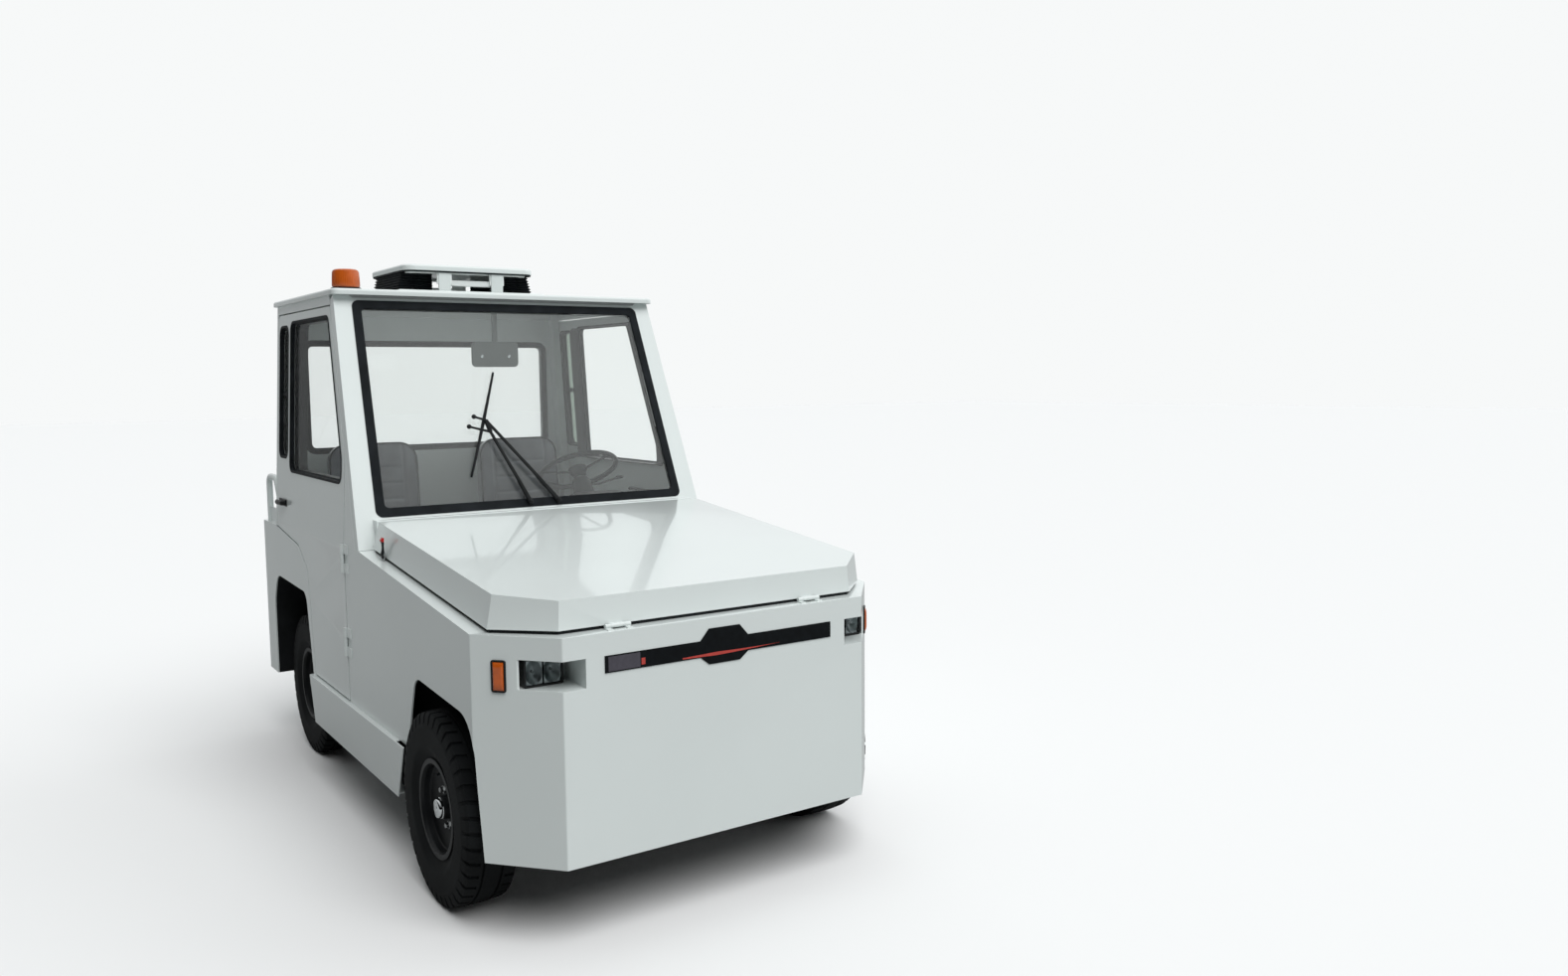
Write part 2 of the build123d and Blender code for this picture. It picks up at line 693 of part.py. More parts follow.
# Hood: a shallow lid with flared skirts and chamfered front corners, hinged at its front edge
hood_sheet = 4
hood_gap = 12          # between the rim and the skirt, for the seal
hood_rear = 204        # where the skirt's foot starts behind the windshield
hood_half = body_half - 51     # half width at the foot of the skirt
hood_front = nose_x - 46 - hood_rear   # length along the slope at the foot of the skirt
hood_front_y = nose_y - 12
hood_height = 111
hood_flare = 9.3
hood_rear_top = 1254   # height of the hood's top at its rear and front edges
hood_front_top = 1115
hood_fall = (hood_rear_top - hood_front_top) / (nose_x - 63 - hood_rear)
hood_slope = degrees(atan(hood_fall))
hood_axis_x = nose_x - 38      # hinge axis, just ahead of the skirt and above the rim
hood_axis_z = rim_front_z + 11
hood_barrel = 7
hood_pin = 3
hood_knuckle = 50
hood_hinges = (-380, 380)
hood_seal_width = 12
hood_plane = Plane(
    origin=(hood_rear, 0, rim_z(hood_rear) + hood_gap),
    x_dir=(cos(radians(hood_slope)), 0, -sin(radians(hood_slope))),
    z_dir=(sin(radians(hood_slope)), 0, cos(radians(hood_slope))),
)


def hood_plan(inset):
    """Plan of the hood in its own plane, moved inwards by an inset."""
    corner = hood_half - hood_front_y
    shift = inset * (sqrt(2) - 1)
    left = [
        (inset, hood_half - inset),
        (hood_front - corner - shift, hood_half - inset),
        (hood_front - inset, hood_front_y - shift),
    ]
    return left + [(x, -y) for x, y in reversed(left)]


with BuildPart() as hood_core:
    for height in (-60, hood_height - hood_sheet):
        with BuildSketch(hood_plane.offset(height)):
            outline(hood_plan(hood_sheet + height * tan(radians(hood_flare))), [0] * 6)
    loft(ruled=True)

with BuildPart() as hood:
    for height in (0, hood_height):
        with BuildSketch(hood_plane.offset(height)):
            outline(hood_plan(height * tan(radians(hood_flare))), [0] * 6)
    loft(ruled=True)
    fillet(hood.faces().sort_by(Axis.Z)[-1].edges(), 9)
    add(hood_core.part, mode=Mode.SUBTRACT)
    with BuildSketch(Plane.XZ):
        above = [(x, z + hood_gap) for x, z in rim_line]
        outline(above + [(nose_x + 100, 700), (nose_rear_x - 100, 700)], [0] * 6)
    extrude(amount=body_half + 50, both=True, mode=Mode.SUBTRACT)
    for y in hood_hinges:
        rod_y(hood_axis_x, hood_axis_z, hood_barrel, y - hood_knuckle / 2, y + hood_knuckle / 2)
        block(
            (hood_axis_x - 18, y - hood_knuckle / 2, hood_axis_z + 2),
            (hood_axis_x, y + hood_knuckle / 2, hood_axis_z + 6),
        )
        rod_y(
            hood_axis_x, hood_axis_z, hood_pin + running, y - hood_knuckle, y + hood_knuckle,
            mode=Mode.SUBTRACT,
        )
pieces["hood"] = hood

# Body halves of the hood hinges, standing on the front rim
with BuildPart() as hood_hinge_feet:
    for y in hood_hinges:
        for side in (1, -1):
            near = y + side * (hood_knuckle / 2 + seat_gap)
            y_low, y_high = sorted((near, near + side * 20))
            rod_y(hood_axis_x, hood_axis_z, hood_barrel, y_low, y_high)
            block((hood_axis_x - 5, y_low, rim_front_z), (hood_axis_x + 5, y_high, hood_axis_z - 4))
            block((hood_axis_x, y_low, rim_front_z), (hood_axis_x + 22, y_high, rim_front_z + 4))
        rod_y(
            hood_axis_x, hood_axis_z, hood_pin, y - hood_knuckle / 2 - 20, y + hood_knuckle / 2 + 20
        )

# Rubber seal between the rim flange and the hood's skirt
with BuildPart() as hood_seal:
    with BuildSketch(Plane.XZ):
        band = [(hood_rear_x + 14, rim_z(hood_rear_x + 14)), rim_line[2], (nose_x, rim_front_z)]
        lift = hood_gap - seat_gap
        outline(band + [(x, z + lift) for x, z in reversed(band)], [0] * 6)
    extrude(amount=body_half, both=True)
    with BuildSketch(Plane.XY):
        for inset, mode in ((9, Mode.ADD), (9 + hood_seal_width, Mode.SUBTRACT)):
            plan = [(x * cos(radians(hood_slope)) + hood_rear, y) for x, y in hood_plan(inset)]
            outline(plan, [0] * 6, mode=mode)
    extrude(amount=1400, mode=Mode.INTERSECT)

with BuildPart() as rubber_seals:
    add(glass_seals.part)
    add(hood_seal.part)
pieces["rubber_seals"] = rubber_seals

# Lamps: head lamps in the nose, amber markers on the chamfers, tail lamps on the rear panel
lamp_face_x = nose_x - 110
lamp_half_y = (nose_y - 52, nose_y + 108)
with BuildPart() as headlamps:
    block(
        (lamp_face_x - 46, lamp_half_y[0], lamp_bottom + seat_gap), (lamp_face_x, lamp_half_y[1] - 60, lamp_top - seat_gap)
    )
    block(
        (lamp_face_x - 46, lamp_half_y[0], lamp_bottom + seat_gap), (lamp_face_x - 10, lamp_half_y[1] - 26, lamp_top - seat_gap)
    )
    fillet(headlamps.edges().filter_by(Axis.X), 6)
    mirror(about=Plane.XZ)
pieces["headlamps"] = headlamps

with BuildPart() as lamp_recesses:
    for z_low in (lamp_bottom - 4, lamp_top):
        block((lamp_face_x - 60, lamp_inner_y - 4, z_low), (nose_x - sheet, body_half, z_low + 4))
    block(
        (lamp_face_x - 60, lamp_inner_y - 4, lamp_bottom), (nose_x - sheet, lamp_inner_y, lamp_top)
    )
    block(
        (lamp_face_x - 60, lamp_inner_y - 4, lamp_bottom), (lamp_face_x - 56, body_half, lamp_top)
    )
    with BuildSketch(Plane.XY):
        outline(nose_plan(sheet, 0), [0] * 6)
    extrude(amount=1400, mode=Mode.INTERSECT)
    mirror(about=Plane.XZ)

chamfer_turn = degrees(atan((body_half - nose_y) / (nose_x - chamfer_x)))
marker_x = chamfer_x + 75
marker_plane = Plane(
    origin=(marker_x, body_half - (marker_x - chamfer_x) * tan(radians(chamfer_turn)), 878),
    x_dir=(cos(radians(chamfer_turn)), -sin(radians(chamfer_turn)), 0),
    z_dir=(sin(radians(chamfer_turn)), cos(radians(chamfer_turn)), 0),
)
with BuildPart() as marker_lamps:
    with BuildSketch(marker_plane.offset(0)):
        RectangleRounded(43, 96, 5)
    extrude(amount=12)
    mirror(about=Plane.XZ)
pieces["marker_lamps"] = marker_lamps

tail_lamp_y = body_half - 160
tail_lamp_z = 900
with BuildPart() as tail_lamps:
    with BuildSketch(Plane.YZ.offset(body_rear_x)):
        with Locations((tail_lamp_y, tail_lamp_z)):
            RectangleRounded(230, 90, 12)
    extrude(amount=-30)
    mirror(about=Plane.XZ)
pieces["tail_lamps"] = tail_lamps

# Front band: a flat black stripe with a bare eight-sided plate in the middle
band_thick = 3
band_low = 877
band_high = 933
band_half = nose_y - 144
plate_half = 95
plate_low = 850
plate_high = 972
with BuildPart() as front_band:
    with BuildSketch(Plane.YZ.offset(nose_x)):
        with Locations((0, (band_low + band_high) / 2)):
            Rectangle(2 * band_half, band_high - band_low)
        cut = 34
        outline(
            [(-plate_half, band_low), (-plate_half + cut, plate_low), (plate_half - cut, plate_low),
             (plate_half, band_low), (plate_half, band_high), (plate_half - cut, plate_high),
             (-plate_half + cut, plate_high), (-plate_half, band_high)],
            [0] * 8,
        )
    extrude(amount=band_thick)
pieces["front_band"] = front_band

# Dashboard with the steering column
wheel_centre = (-280, seat_y, 1370)
column_lean = 30       # of the steering column from the vertical
column_dir = Vector(-sin(radians(column_lean)), 0, cos(radians(column_lean)))
wheel_plane = Plane(
    origin=wheel_centre, x_dir=(cos(radians(column_lean)), 0, sin(radians(column_lean))), z_dir=column_dir
)
column_radius = 32
column_length = 420
shaft_reach = 50       # the bare shaft between the column and the wheel's middle
shaft_radius = 10
hub_radius = 34
dash_half = floor_half - 35
dash_line = [
    (bulkhead_x - floor_sheet - seat_gap, 1040), (bulkhead_x - floor_sheet - seat_gap, 1128),
    (82, 1212), (-50, 1212), (-98, 1180), (-98, 1060), (-40, 1000), (60, 1000),
]
with BuildPart() as dashboard:
    side_plate(dash_line, [0, 0, 20, 40, 30, 30, 20, 20], -dash_half, dash_half)
    with BuildSketch(wheel_plane.offset(-shaft_reach - column_length)):
        Circle(column_radius)
    extrude(amount=column_length)
    with BuildSketch(wheel_plane.offset(-shaft_reach - 10)):
        Circle(shaft_radius)
    extrude(amount=shaft_reach + 10 + 8)
pieces["dashboard"] = dashboard

rim_tube = 14
wheel_rim_radius = 186
with BuildPart() as steering_wheel:
    with BuildSketch(wheel_plane.offset(-34)):
        Circle(hub_radius)
    extrude(amount=50)
    with BuildSketch(Plane(origin=wheel_centre, x_dir=wheel_plane.x_dir, z_dir=wheel_plane.y_dir)):
        with Locations((wheel_rim_radius, 0)):
            RegularPolygon(rim_tube, 8)
    revolve(axis=Axis(wheel_centre, column_dir))
    with Locations(wheel_plane.location):
        with PolarLocations(0, 3, start_angle=30):
            with Locations((wheel_rim_radius / 2 + 6, 0, 0)):
                Box(wheel_rim_radius - 10, 26, 9)
    with BuildSketch(wheel_plane.offset(-40)):
        Circle(shaft_radius + running)
    extrude(amount=50, mode=Mode.SUBTRACT)
pieces["steering_wheel"] = steering_wheel

# Seats: squab and back pads
seat_width = 480
squab_low = seat_frame_top + seat_gap
squab_rear_x = -970
squab_line = [
    (squab_rear_x, squab_low), (-480, squab_low), (-462, 1020), (-520, 1036), (squab_rear_x, 1012),
]
back_line = [
    (-1046, squab_low), (squab_rear_x - seat_gap, squab_low), (-962, 1060), (-985, 1400),
    (-1010, 1508), (-1062, 1508), (-1085, 1400),
]
for name, y in (("driver_seat", seat_y), ("passenger_seat", -seat_y)):
    with BuildPart() as seat:
        side_plate(
            squab_line, [18, 20, 24, 30, 10], y - seat_width / 2, y + seat_width / 2
        )
        side_plate(
            back_line, [8, 2, 60, 80, 24, 24, 60], y - seat_width / 2 + 14, y + seat_width / 2 - 14
        )
    pieces[name] = seat

# Roof fittings: beacon, raised roof hatch
roof_top = eaves_z + roof_thick
beacon_x = -350
beacon_y = -(eaves_half - 87)
beacon_radius = 60
beacon_height = 92
with BuildPart() as beacon:
    rod_z(beacon_x, beacon_y, beacon_radius + 4, roof_top, roof_top + 10)
    rod_z(beacon_x, beacon_y, beacon_radius, roof_top + 10, roof_top + beacon_height)
    chamfer(beacon.edges().group_by(Axis.Z)[-1], 8)
pieces["beacon"] = beacon

hatch_base = (640, 845)
hatch_top = (568, 700) # the plinth's sides slope up to this size
hatch_height = 34      # of the plinth
hatch_lid_size = (560, 650)
hatch_lid_thick = 28
hatch_lift = 92        # from the plinth up to the raised lid
hatch_arm_x = 266      # the lid's four lift arms stand on the plinth before and behind the hole
hatch_arm_y = 130
hatch_seat = roof_top + hatch_height
hatch_lid_top = hatch_seat + hatch_lift + hatch_lid_thick
bellows_length = 420
with BuildPart() as hatch_frame:
    for size, height in ((hatch_base, 0), (hatch_top, hatch_height)):
        with BuildSketch(Plane.XY.offset(roof_top + height)):
            with Locations((hatch_x, 0)):
                Rectangle(*size)
    loft(ruled=True)
    with BuildSketch(Plane.XY.offset(roof_top - 1)):
        with Locations((hatch_x, 0)):
            RectangleRounded(*hatch_hole, 40)
    extrude(amount=hatch_height + 2, mode=Mode.SUBTRACT)
pieces["hatch_frame"] = hatch_frame

with BuildPart() as hatch_lid:
    with BuildSketch(Plane.XY.offset(hatch_lid_top - hatch_lid_thick)):
        with Locations((hatch_x, 0)):
            RectangleRounded(*hatch_lid_size, 60)
    extrude(amount=hatch_lid_thick)
    chamfer(hatch_lid.edges().group_by(Axis.Z)[-1], 8)
    for x in (hatch_x - hatch_arm_x, hatch_x + hatch_arm_x):
        for y in (-hatch_arm_y, hatch_arm_y):
            block(
                (x - 5, y - 30, hatch_seat + seat_gap), (x + 5, y + 30, hatch_lid_top - hatch_lid_thick)
            )
pieces["hatch_lid"] = hatch_lid

# Rubber blocks that close the raised hatch at its two ends
with BuildPart() as hatch_bellows:
    with BuildSketch(Plane.YZ.offset(hatch_x - bellows_length / 2)):
        low, high = hatch_seat + seat_gap, hatch_lid_top - hatch_lid_thick - seat_gap
        bellows_in = hatch_hole[1] / 2 - 24
        outline(
            [(bellows_in, low), (hatch_top[1] / 2 - 10, low), (hatch_top[1] / 2 - 34, high),
             (bellows_in, high)],
            [0] * 4,
        )
    extrude(amount=bellows_length)
    mirror(about=Plane.XZ)
pieces["hatch_bellows"] = hatch_bellows

# Mirror over the windshield and the wiper
mirror_x = -345
mirror_z = 1927
mirror_size = (224, 117)
mirror_thick = 14
mirror_foot = 20
with BuildPart() as interior_mirror:
    with BuildSketch(Plane.YZ.offset(mirror_x)):
        with Locations((0, mirror_z)):
            RectangleRounded(*mirror_size, 22)
    extrude(amount=mirror_thick)
    block(
        (mirror_x, -12, mirror_z + mirror_size[1] / 2 - 6),
        (mirror_x + mirror_thick, 12, eaves_z - mirror_foot),
    )
    block((mirror_x, -30, eaves_z - mirror_foot), (mirror_x + 45, 30, eaves_z))
pieces["interior_mirror"] = interior_mirror

wiper_lift = 22        # over the glass frame's face
blade_low = (-289, 148)
blade_high = (-107, 630)
wiper_arms = [         # pivot y, pivot up the slope, tip y, tip up the slope
    (85, 20, -186, 400), (-46, 20, -174, 345),
]
with BuildPart() as wiper:
    with BuildSketch(shield.offset(seal_proud + seat_gap)):
        with Locations(*[(y, up) for y, up, tip_y, tip_up in wiper_arms]):
            Circle(11)
    extrude(amount=wiper_lift + 4)
    with BuildSketch(shield.offset(wiper_lift)):
        for y, up, tip_y, tip_up in wiper_arms:
            with BuildLine():
                Line((y, up), (tip_y, tip_up))
            trace(line_width=10)
        with BuildLine():
            Line(wiper_arms[0][2:], wiper_arms[1][2:])
        trace(line_width=14)
    extrude(amount=7)
    with BuildSketch(shield.offset(6)):
        with BuildLine():
            Line(blade_low, blade_high)
        trace(line_width=9)
    extrude(amount=wiper_lift - 6 + 2)
pieces["wiper"] = wiper

# Draw latches at the rear of the hood's skirt
latch_x = 348
with BuildPart() as hood_latches:
    block(
        (latch_x, hood_half + 6, rim_z(latch_x) + seat_gap),
        (latch_x + 44, hood_half + 23, rim_z(latch_x) + 88),
    )
    mirror(about=Plane.XZ)
pieces["hood_latches"] = hood_latches

# Tow hitch on the rear panel: three jaw plates with a lift-out pin
hitch_x = -1615
hitch_rear_x = -1653
hitch_plate = 18
hitch_half = 65
hitch_levels = (290, 370, 450)
hitch_back = (body_rear_x - 20, 110, 250, 520)
tow_pin_radius = 15
pin_clearance = 0.08
with BuildPart() as tow_hitch:
    block(
        (hitch_back[0], -hitch_back[1], hitch_back[2]), (body_rear_x, hitch_back[1], hitch_back[3])
    )
    for z in hitch_levels:
        with BuildSketch(Plane.XY.offset(z)):
            outline(
                [(hitch_back[0] + 1, hitch_half + 20), (hitch_back[0] + 1, -hitch_half - 20),
                 (hitch_rear_x, -hitch_half), (hitch_rear_x, hitch_half)],
                [0, 0, 40, 40],
            )
        extrude(amount=hitch_plate)
    rod_z(hitch_x, 0, tow_pin_radius + pin_clearance, 200, 600, mode=Mode.SUBTRACT)
pieces["tow_hitch"] = tow_hitch

with BuildPart() as tow_pin:
    top = hitch_levels[-1] + hitch_plate
    rod_z(hitch_x, 0, tow_pin_radius, hitch_levels[0] - 12, top + 40)
    rod_z(hitch_x, 0, tow_pin_radius + 9, top + seat_gap, top + 14)
    rod_y(hitch_x, top + 34, 8, -45, 45)
pieces["tow_pin"] = tow_pin

# Front axle: dropped beam with kingpin bosses, on two leaf springs
beam_half_x = 35
boss_radius = 34
boss_low = axle_z - 42
boss_high = axle_z + 42
beam_low = axle_z - 88
beam_high = axle_z - 18
beam_half_line = [     # y, z on the left: along the lower side outwards, then back along the upper
    (kingpin_y - 140, beam_low), (kingpin_y - 46, boss_low + 4), (kingpin_y, boss_low + 4),
    (kingpin_y, boss_high - 4), (kingpin_y - 50, boss_high - 4), (kingpin_y - 160, beam_high),
]
beam_line = beam_half_line + [(-y, z) for y, z in reversed(beam_half_line)]
leaf_thick = 8
leaf_width = 60
leaf_sag = 32
leaf_chord = 320
leaf_halves = (320, 240, 160, 90)
leaf_radius = (leaf_chord ** 2 + leaf_sag ** 2) / (2 * leaf_sag)
leaf_low = beam_high   # the lowest leaf rests on the beam
leaf_top = leaf_low + len(leaf_halves) * leaf_thick

with BuildPart() as front_axle:
    with BuildSketch(Plane.YZ.offset(front_axle_x - beam_half_x)):
        outline(beam_line, [40, 20, 0, 0, 20, 40, 40, 20, 0, 0, 20, 40])
    extrude(amount=2 * beam_half_x)
    for y in (-kingpin_y, kingpin_y):
        rod_z(front_axle_x, y, boss_radius, boss_low, boss_high)
        rod_z(front_axle_x, y, 60, boss_high, boss_high + 200, mode=Mode.SUBTRACT)
        rod_z(front_axle_x, y, kingpin_radius + running, 200, 500, mode=Mode.SUBTRACT)

with BuildPart() as leaf_springs:
    for level, half in enumerate(leaf_halves):
        top_radius = leaf_radius + level * leaf_thick
        centre_z = leaf_top + leaf_radius
        drop = sqrt(top_radius ** 2 - half ** 2)
        low_radius = top_radius + leaf_thick
        low_drop = sqrt(low_radius ** 2 - half ** 2)
        with BuildSketch(Plane.XZ.offset(-rail_y - leaf_width / 2)):
            with BuildLine():
                ThreePointArc(
                    (front_axle_x - half, centre_z - drop), (front_axle_x, centre_z - top_radius),
                    (front_axle_x + half, centre_z - drop),
                )
                Line((front_axle_x + half, centre_z - drop), (front_axle_x + half, centre_z - low_drop))
                ThreePointArc(
                    (front_axle_x + half, centre_z - low_drop), (front_axle_x, centre_z - low_radius),
                    (front_axle_x - half, centre_z - low_drop),
                )
                Line((front_axle_x - half, centre_z - low_drop), (front_axle_x - half, centre_z - drop))
            make_face()
        extrude(amount=leaf_width)
    for x in (front_axle_x - leaf_chord, front_axle_x + leaf_chord):
        z_eye = leaf_top + leaf_sag + 2
        rod_y(x, z_eye, 13, rail_y - leaf_width / 2, rail_y + leaf_width / 2)
        for y in (rail_y - leaf_width / 2 - 8, rail_y + leaf_width / 2):
            block((x - 16, y, z_eye - 14), (x + 16, y + 8, rail_bottom))
    block(
        (front_axle_x - 42, rail_y - leaf_width / 2 - 4, leaf_low - 12),
        (front_axle_x + 42, rail_y + leaf_width / 2 + 4, leaf_top + 10),
    )
    mirror(about=Plane.XZ)

with BuildPart() as sprung_axle:
    add(front_axle.part)
    add(leaf_springs.part)
pieces["front_axle"] = sprung_axle

# Steering knuckles: forked round the beam's bosses, with spindle and steering arm
ear_gap = 0.3
ear_thick = 22
spindle_end = front_wheel_y + 66
arm_length = 150
arm_top = boss_low - ear_gap - 2
plate_y = kingpin_y + 42       # inner face of the knuckle's upright plate
arm_low = arm_top - 18
ball_radius = 10
eye_low = arm_low - 26
with BuildPart() as knuckle_left:
    low, high = boss_low - ear_gap - ear_thick, boss_high + ear_gap + ear_thick
    block((front_axle_x - 34, kingpin_y - 30, high - ear_thick), (front_axle_x + 34, plate_y + 20, high))
    block((front_axle_x - 34, kingpin_y - 30, low), (front_axle_x + 34, plate_y + 20, low + ear_thick))
    block((front_axle_x - 40, plate_y, low), (front_axle_x + 40, plate_y + 28, high))
    rod_y(front_axle_x, axle_z, 100, plate_y + 24, plate_y + 36)
    rod_y(front_axle_x, axle_z, spindle_radius, plate_y + 28, spindle_end)
    rod_z(front_axle_x, kingpin_y, kingpin_radius, low + 2, high - 2)
    block((front_axle_x - arm_length - 16, kingpin_y - 14, arm_low), (front_axle_x - 20, kingpin_y + 14, arm_top))
    rod_z(front_axle_x - arm_length, kingpin_y, ball_radius, eye_low - 4, arm_top)
pieces["knuckle_left"] = knuckle_left
pieces["knuckle_right"] = mirrored(knuckle_left)

with BuildPart() as tie_rod:
    for y in (kingpin_y, -kingpin_y):
        rod_z(front_axle_x - arm_length, y, 19, eye_low, arm_low - seat_gap)
    rod_y(
        front_axle_x - arm_length, (eye_low + arm_low) / 2, 10, -kingpin_y + 14, kingpin_y - 14
    )
    for y, slack in ((kingpin_y, running), (-kingpin_y, 0.5)):
        rod_z(front_axle_x - arm_length, y, ball_radius + slack, 0, 400, mode=Mode.SUBTRACT)
pieces["tie_rod"] = tie_rod

# Rear axle: housing with the final drive, bolted under the rails, with the drive motor in front
axle_tube = 50
drive_radius = 138
motor_radius = 112
motor_length = 340
rear_spindle_end = rear_wheel_y + 60
with BuildPart() as rear_axle:
    rod_y(rear_axle_x, axle_z, axle_tube, -rear_wheel_y + 145, rear_wheel_y - 145)
    with BuildSketch(Plane.XZ.offset(-110)):
        with Locations((rear_axle_x, axle_z)):
            Circle(drive_radius)
    extrude(amount=220)
    chamfer(rear_axle.edges().filter_by(GeomType.CIRCLE).filter_by(
        lambda edge: abs(edge.radius - drive_radius) < 1), 26)
    for side in (1, -1):
        for radius, ends in (
            (drum_radius, (rear_wheel_y - 205, rear_wheel_y - 107)),
            (spindle_radius, (rear_wheel_y - 115, rear_spindle_end)),
        ):
            y_low, y_high = sorted((side * ends[0], side * ends[1]))
            rod_y(rear_axle_x, axle_z, radius, y_low, y_high)
        block(
            (rear_axle_x - 50, side * rail_y - rail_width / 2, axle_z),
            (rear_axle_x + 50, side * rail_y + rail_width / 2, rail_bottom),
        )
    with BuildSketch(Plane.YZ.offset(rear_axle_x + drive_radius - 40)):
        with Locations((0, axle_z)):
            Circle(motor_radius)
    extrude(amount=motor_length + 40)
    block(
        (rear_axle_x + drive_radius + 120, -rail_y + rail_width / 2, axle_z + 70),
        (rear_axle_x + drive_radius + 160, rail_y - rail_width / 2, axle_z + 110),
    )
pieces["rear_axle"] = rear_axle

# Wheels: steel rims with a pressed disc and hub, and tyres
rim_radius = 160
flange_radius = 174
rim_half = 82
rim_seat_half = 74     # the flanges rise outside the tyre's beads
disc_out = 34          # the disc stands this far outside the wheel's middle
hub_rim_radius = 62
hub_radius_out = 40
bore_reach = 66
bead_half = 70         # half width of the tyre at the rim
tread_half = 80
widest_radius = 250    # where the tyre is as wide as its full width
tyre_flats = 60        # the tyres are drawn with flats, one of them on the ground
tyre_section = [       # distance from the wheel's middle, radius to the flats
    (-bead_half, rim_radius + seat_gap), (-tyre_width / 2, widest_radius), (-tread_half, tyre_radius),
    (tread_half, tyre_radius), (tyre_width / 2, widest_radius), (bead_half, rim_radius + seat_gap),
]
wheels = [             # name, axle x, middle of the tyre y
    ("front_left", front_axle_x, front_wheel_y), ("front_right", front_axle_x, -front_wheel_y),
    ("rear_left", rear_axle_x, rear_wheel_y), ("rear_right", rear_axle_x, -rear_wheel_y),
]
rim_profile = [        # distance outwards from the wheel's middle, radius
    (-rim_half, rim_radius - 6), (-rim_half, flange_radius), (-rim_seat_half, rim_radius),
    (rim_seat_half, rim_radius), (rim_half, flange_radius), (rim_half, rim_radius - 6),
    (disc_out + 14, rim_radius - 6),
    (disc_out, hub_rim_radius + 20), (disc_out, hub_radius_out), (bore_reach, hub_radius_out),
    (bore_reach, spindle_radius + running), (-40, spindle_radius + running), (-40, hub_rim_radius),
    (disc_out - 8, hub_rim_radius), (disc_out + 6, rim_radius - 6),
]


def flat_corner(x, y, across, radius, step):
    """Where two flats of a tyre meet: the flats are at the radius, so their corners stand further out."""
    turn = radians(360 / tyre_flats * (step + 0.5))
    reach = radius / cos(radians(180 / tyre_flats))
    return (x + reach * sin(turn), y + across, axle_z - reach * cos(turn))


for name, x, y in wheels:
    outward = 1 if y > 0 else -1
    section = Plane(origin=(x, y, axle_z), x_dir=(0, outward, 0), z_dir=(outward, 0, 0))
    axle_line = Axis((x, y, axle_z), (0, 1, 0))
    with BuildPart() as wheel:
        with BuildSketch(section):
            outline(rim_profile, [0] * len(rim_profile))
        revolve(axis=axle_line)
    flats = []
    for near, far in zip(tyre_section, tyre_section[1:] + tyre_section[:1]):
        for step in range(tyre_flats):
            corners = [flat_corner(x, y, *near, step), flat_corner(x, y, *near, step + 1),
                       flat_corner(x, y, *far, step + 1), flat_corner(x, y, *far, step)]
            flats.append(Face(Wire.make_polygon(corners)))
    with BuildPart() as tyre:
        add(Solid(Shell(flats)))
    pieces["wheel_" + name] = wheel
    pieces["tyre_" + name] = tyre

# The nose weldment with its rim, lamp recesses and the body halves of the hinges
with BuildPart() as nose:
    for welded in (nose_shell, rim, lamp_recesses, door_hinges, hood_hinge_feet):
        add(welded.part)
pieces["nose_shell"] = nose

os.makedirs("parts", exist_ok=True)
for name, piece in pieces.items():
    piece.part.label = name
    export_step(piece.part, f"parts/{name}.step")
    print(name, round(piece.part.volume / 1000), "cm3", len(piece.part.solids()), "solids")
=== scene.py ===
# %% [markdown]
# # An airport baggage tug
# This notebook dresses a finished construction model of an electric baggage tug. The steelwork, wheels
# and joints come ready as fixed pieces; here they get rounded edges and finishes, and the soft, moulded
# and glazed pieces are worked out as surfaces. Everything is in metres: X forward, Y to the driver's
# left, Z up, with the ground at zero under the middle of the tug.

import json
import math

import bmesh
import bpy
import numpy as np
from mathutils import Matrix, Vector


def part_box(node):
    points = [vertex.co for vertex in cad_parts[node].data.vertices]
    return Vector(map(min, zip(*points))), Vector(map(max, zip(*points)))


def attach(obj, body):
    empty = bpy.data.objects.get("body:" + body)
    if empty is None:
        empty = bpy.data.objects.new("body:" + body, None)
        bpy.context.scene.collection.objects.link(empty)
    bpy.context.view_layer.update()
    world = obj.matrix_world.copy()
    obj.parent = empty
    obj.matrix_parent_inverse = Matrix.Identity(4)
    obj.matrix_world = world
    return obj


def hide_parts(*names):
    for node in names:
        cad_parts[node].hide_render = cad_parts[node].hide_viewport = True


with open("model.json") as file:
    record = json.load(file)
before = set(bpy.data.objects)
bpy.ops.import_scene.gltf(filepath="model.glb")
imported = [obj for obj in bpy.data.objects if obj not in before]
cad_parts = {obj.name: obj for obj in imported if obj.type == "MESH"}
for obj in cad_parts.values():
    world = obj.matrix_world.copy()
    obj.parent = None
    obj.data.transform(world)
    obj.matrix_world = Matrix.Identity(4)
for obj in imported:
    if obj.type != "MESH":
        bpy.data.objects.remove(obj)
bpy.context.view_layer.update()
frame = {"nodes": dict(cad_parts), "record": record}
bodies = frame["record"]["behaviour"]["bodies"]
body_of_node = {node: body for body, nodes in bodies.items() for node in nodes}
slot_of_node = {part["node"]: part["material_slot"] for part in frame["record"]["subparts"]}

# %% [markdown]
# ## Camera
# The photograph was taken from the tug's right front, a little above head height, with a moderately
# wide lens. A camera can be placed by eye or worked out from measured corners. These numbers were worked
# out from measured corners: the place, the three turns and the focal length together put every corner of
# the body where the photograph has it.

# %% Camera
CAMERA_PLACE = (5.051, -2.115, 1.807)
CAMERA_AZIMUTH, CAMERA_PITCH, CAMERA_ROLL = 55.16, -5.249, -0.544
CAMERA_LENS = 27.55


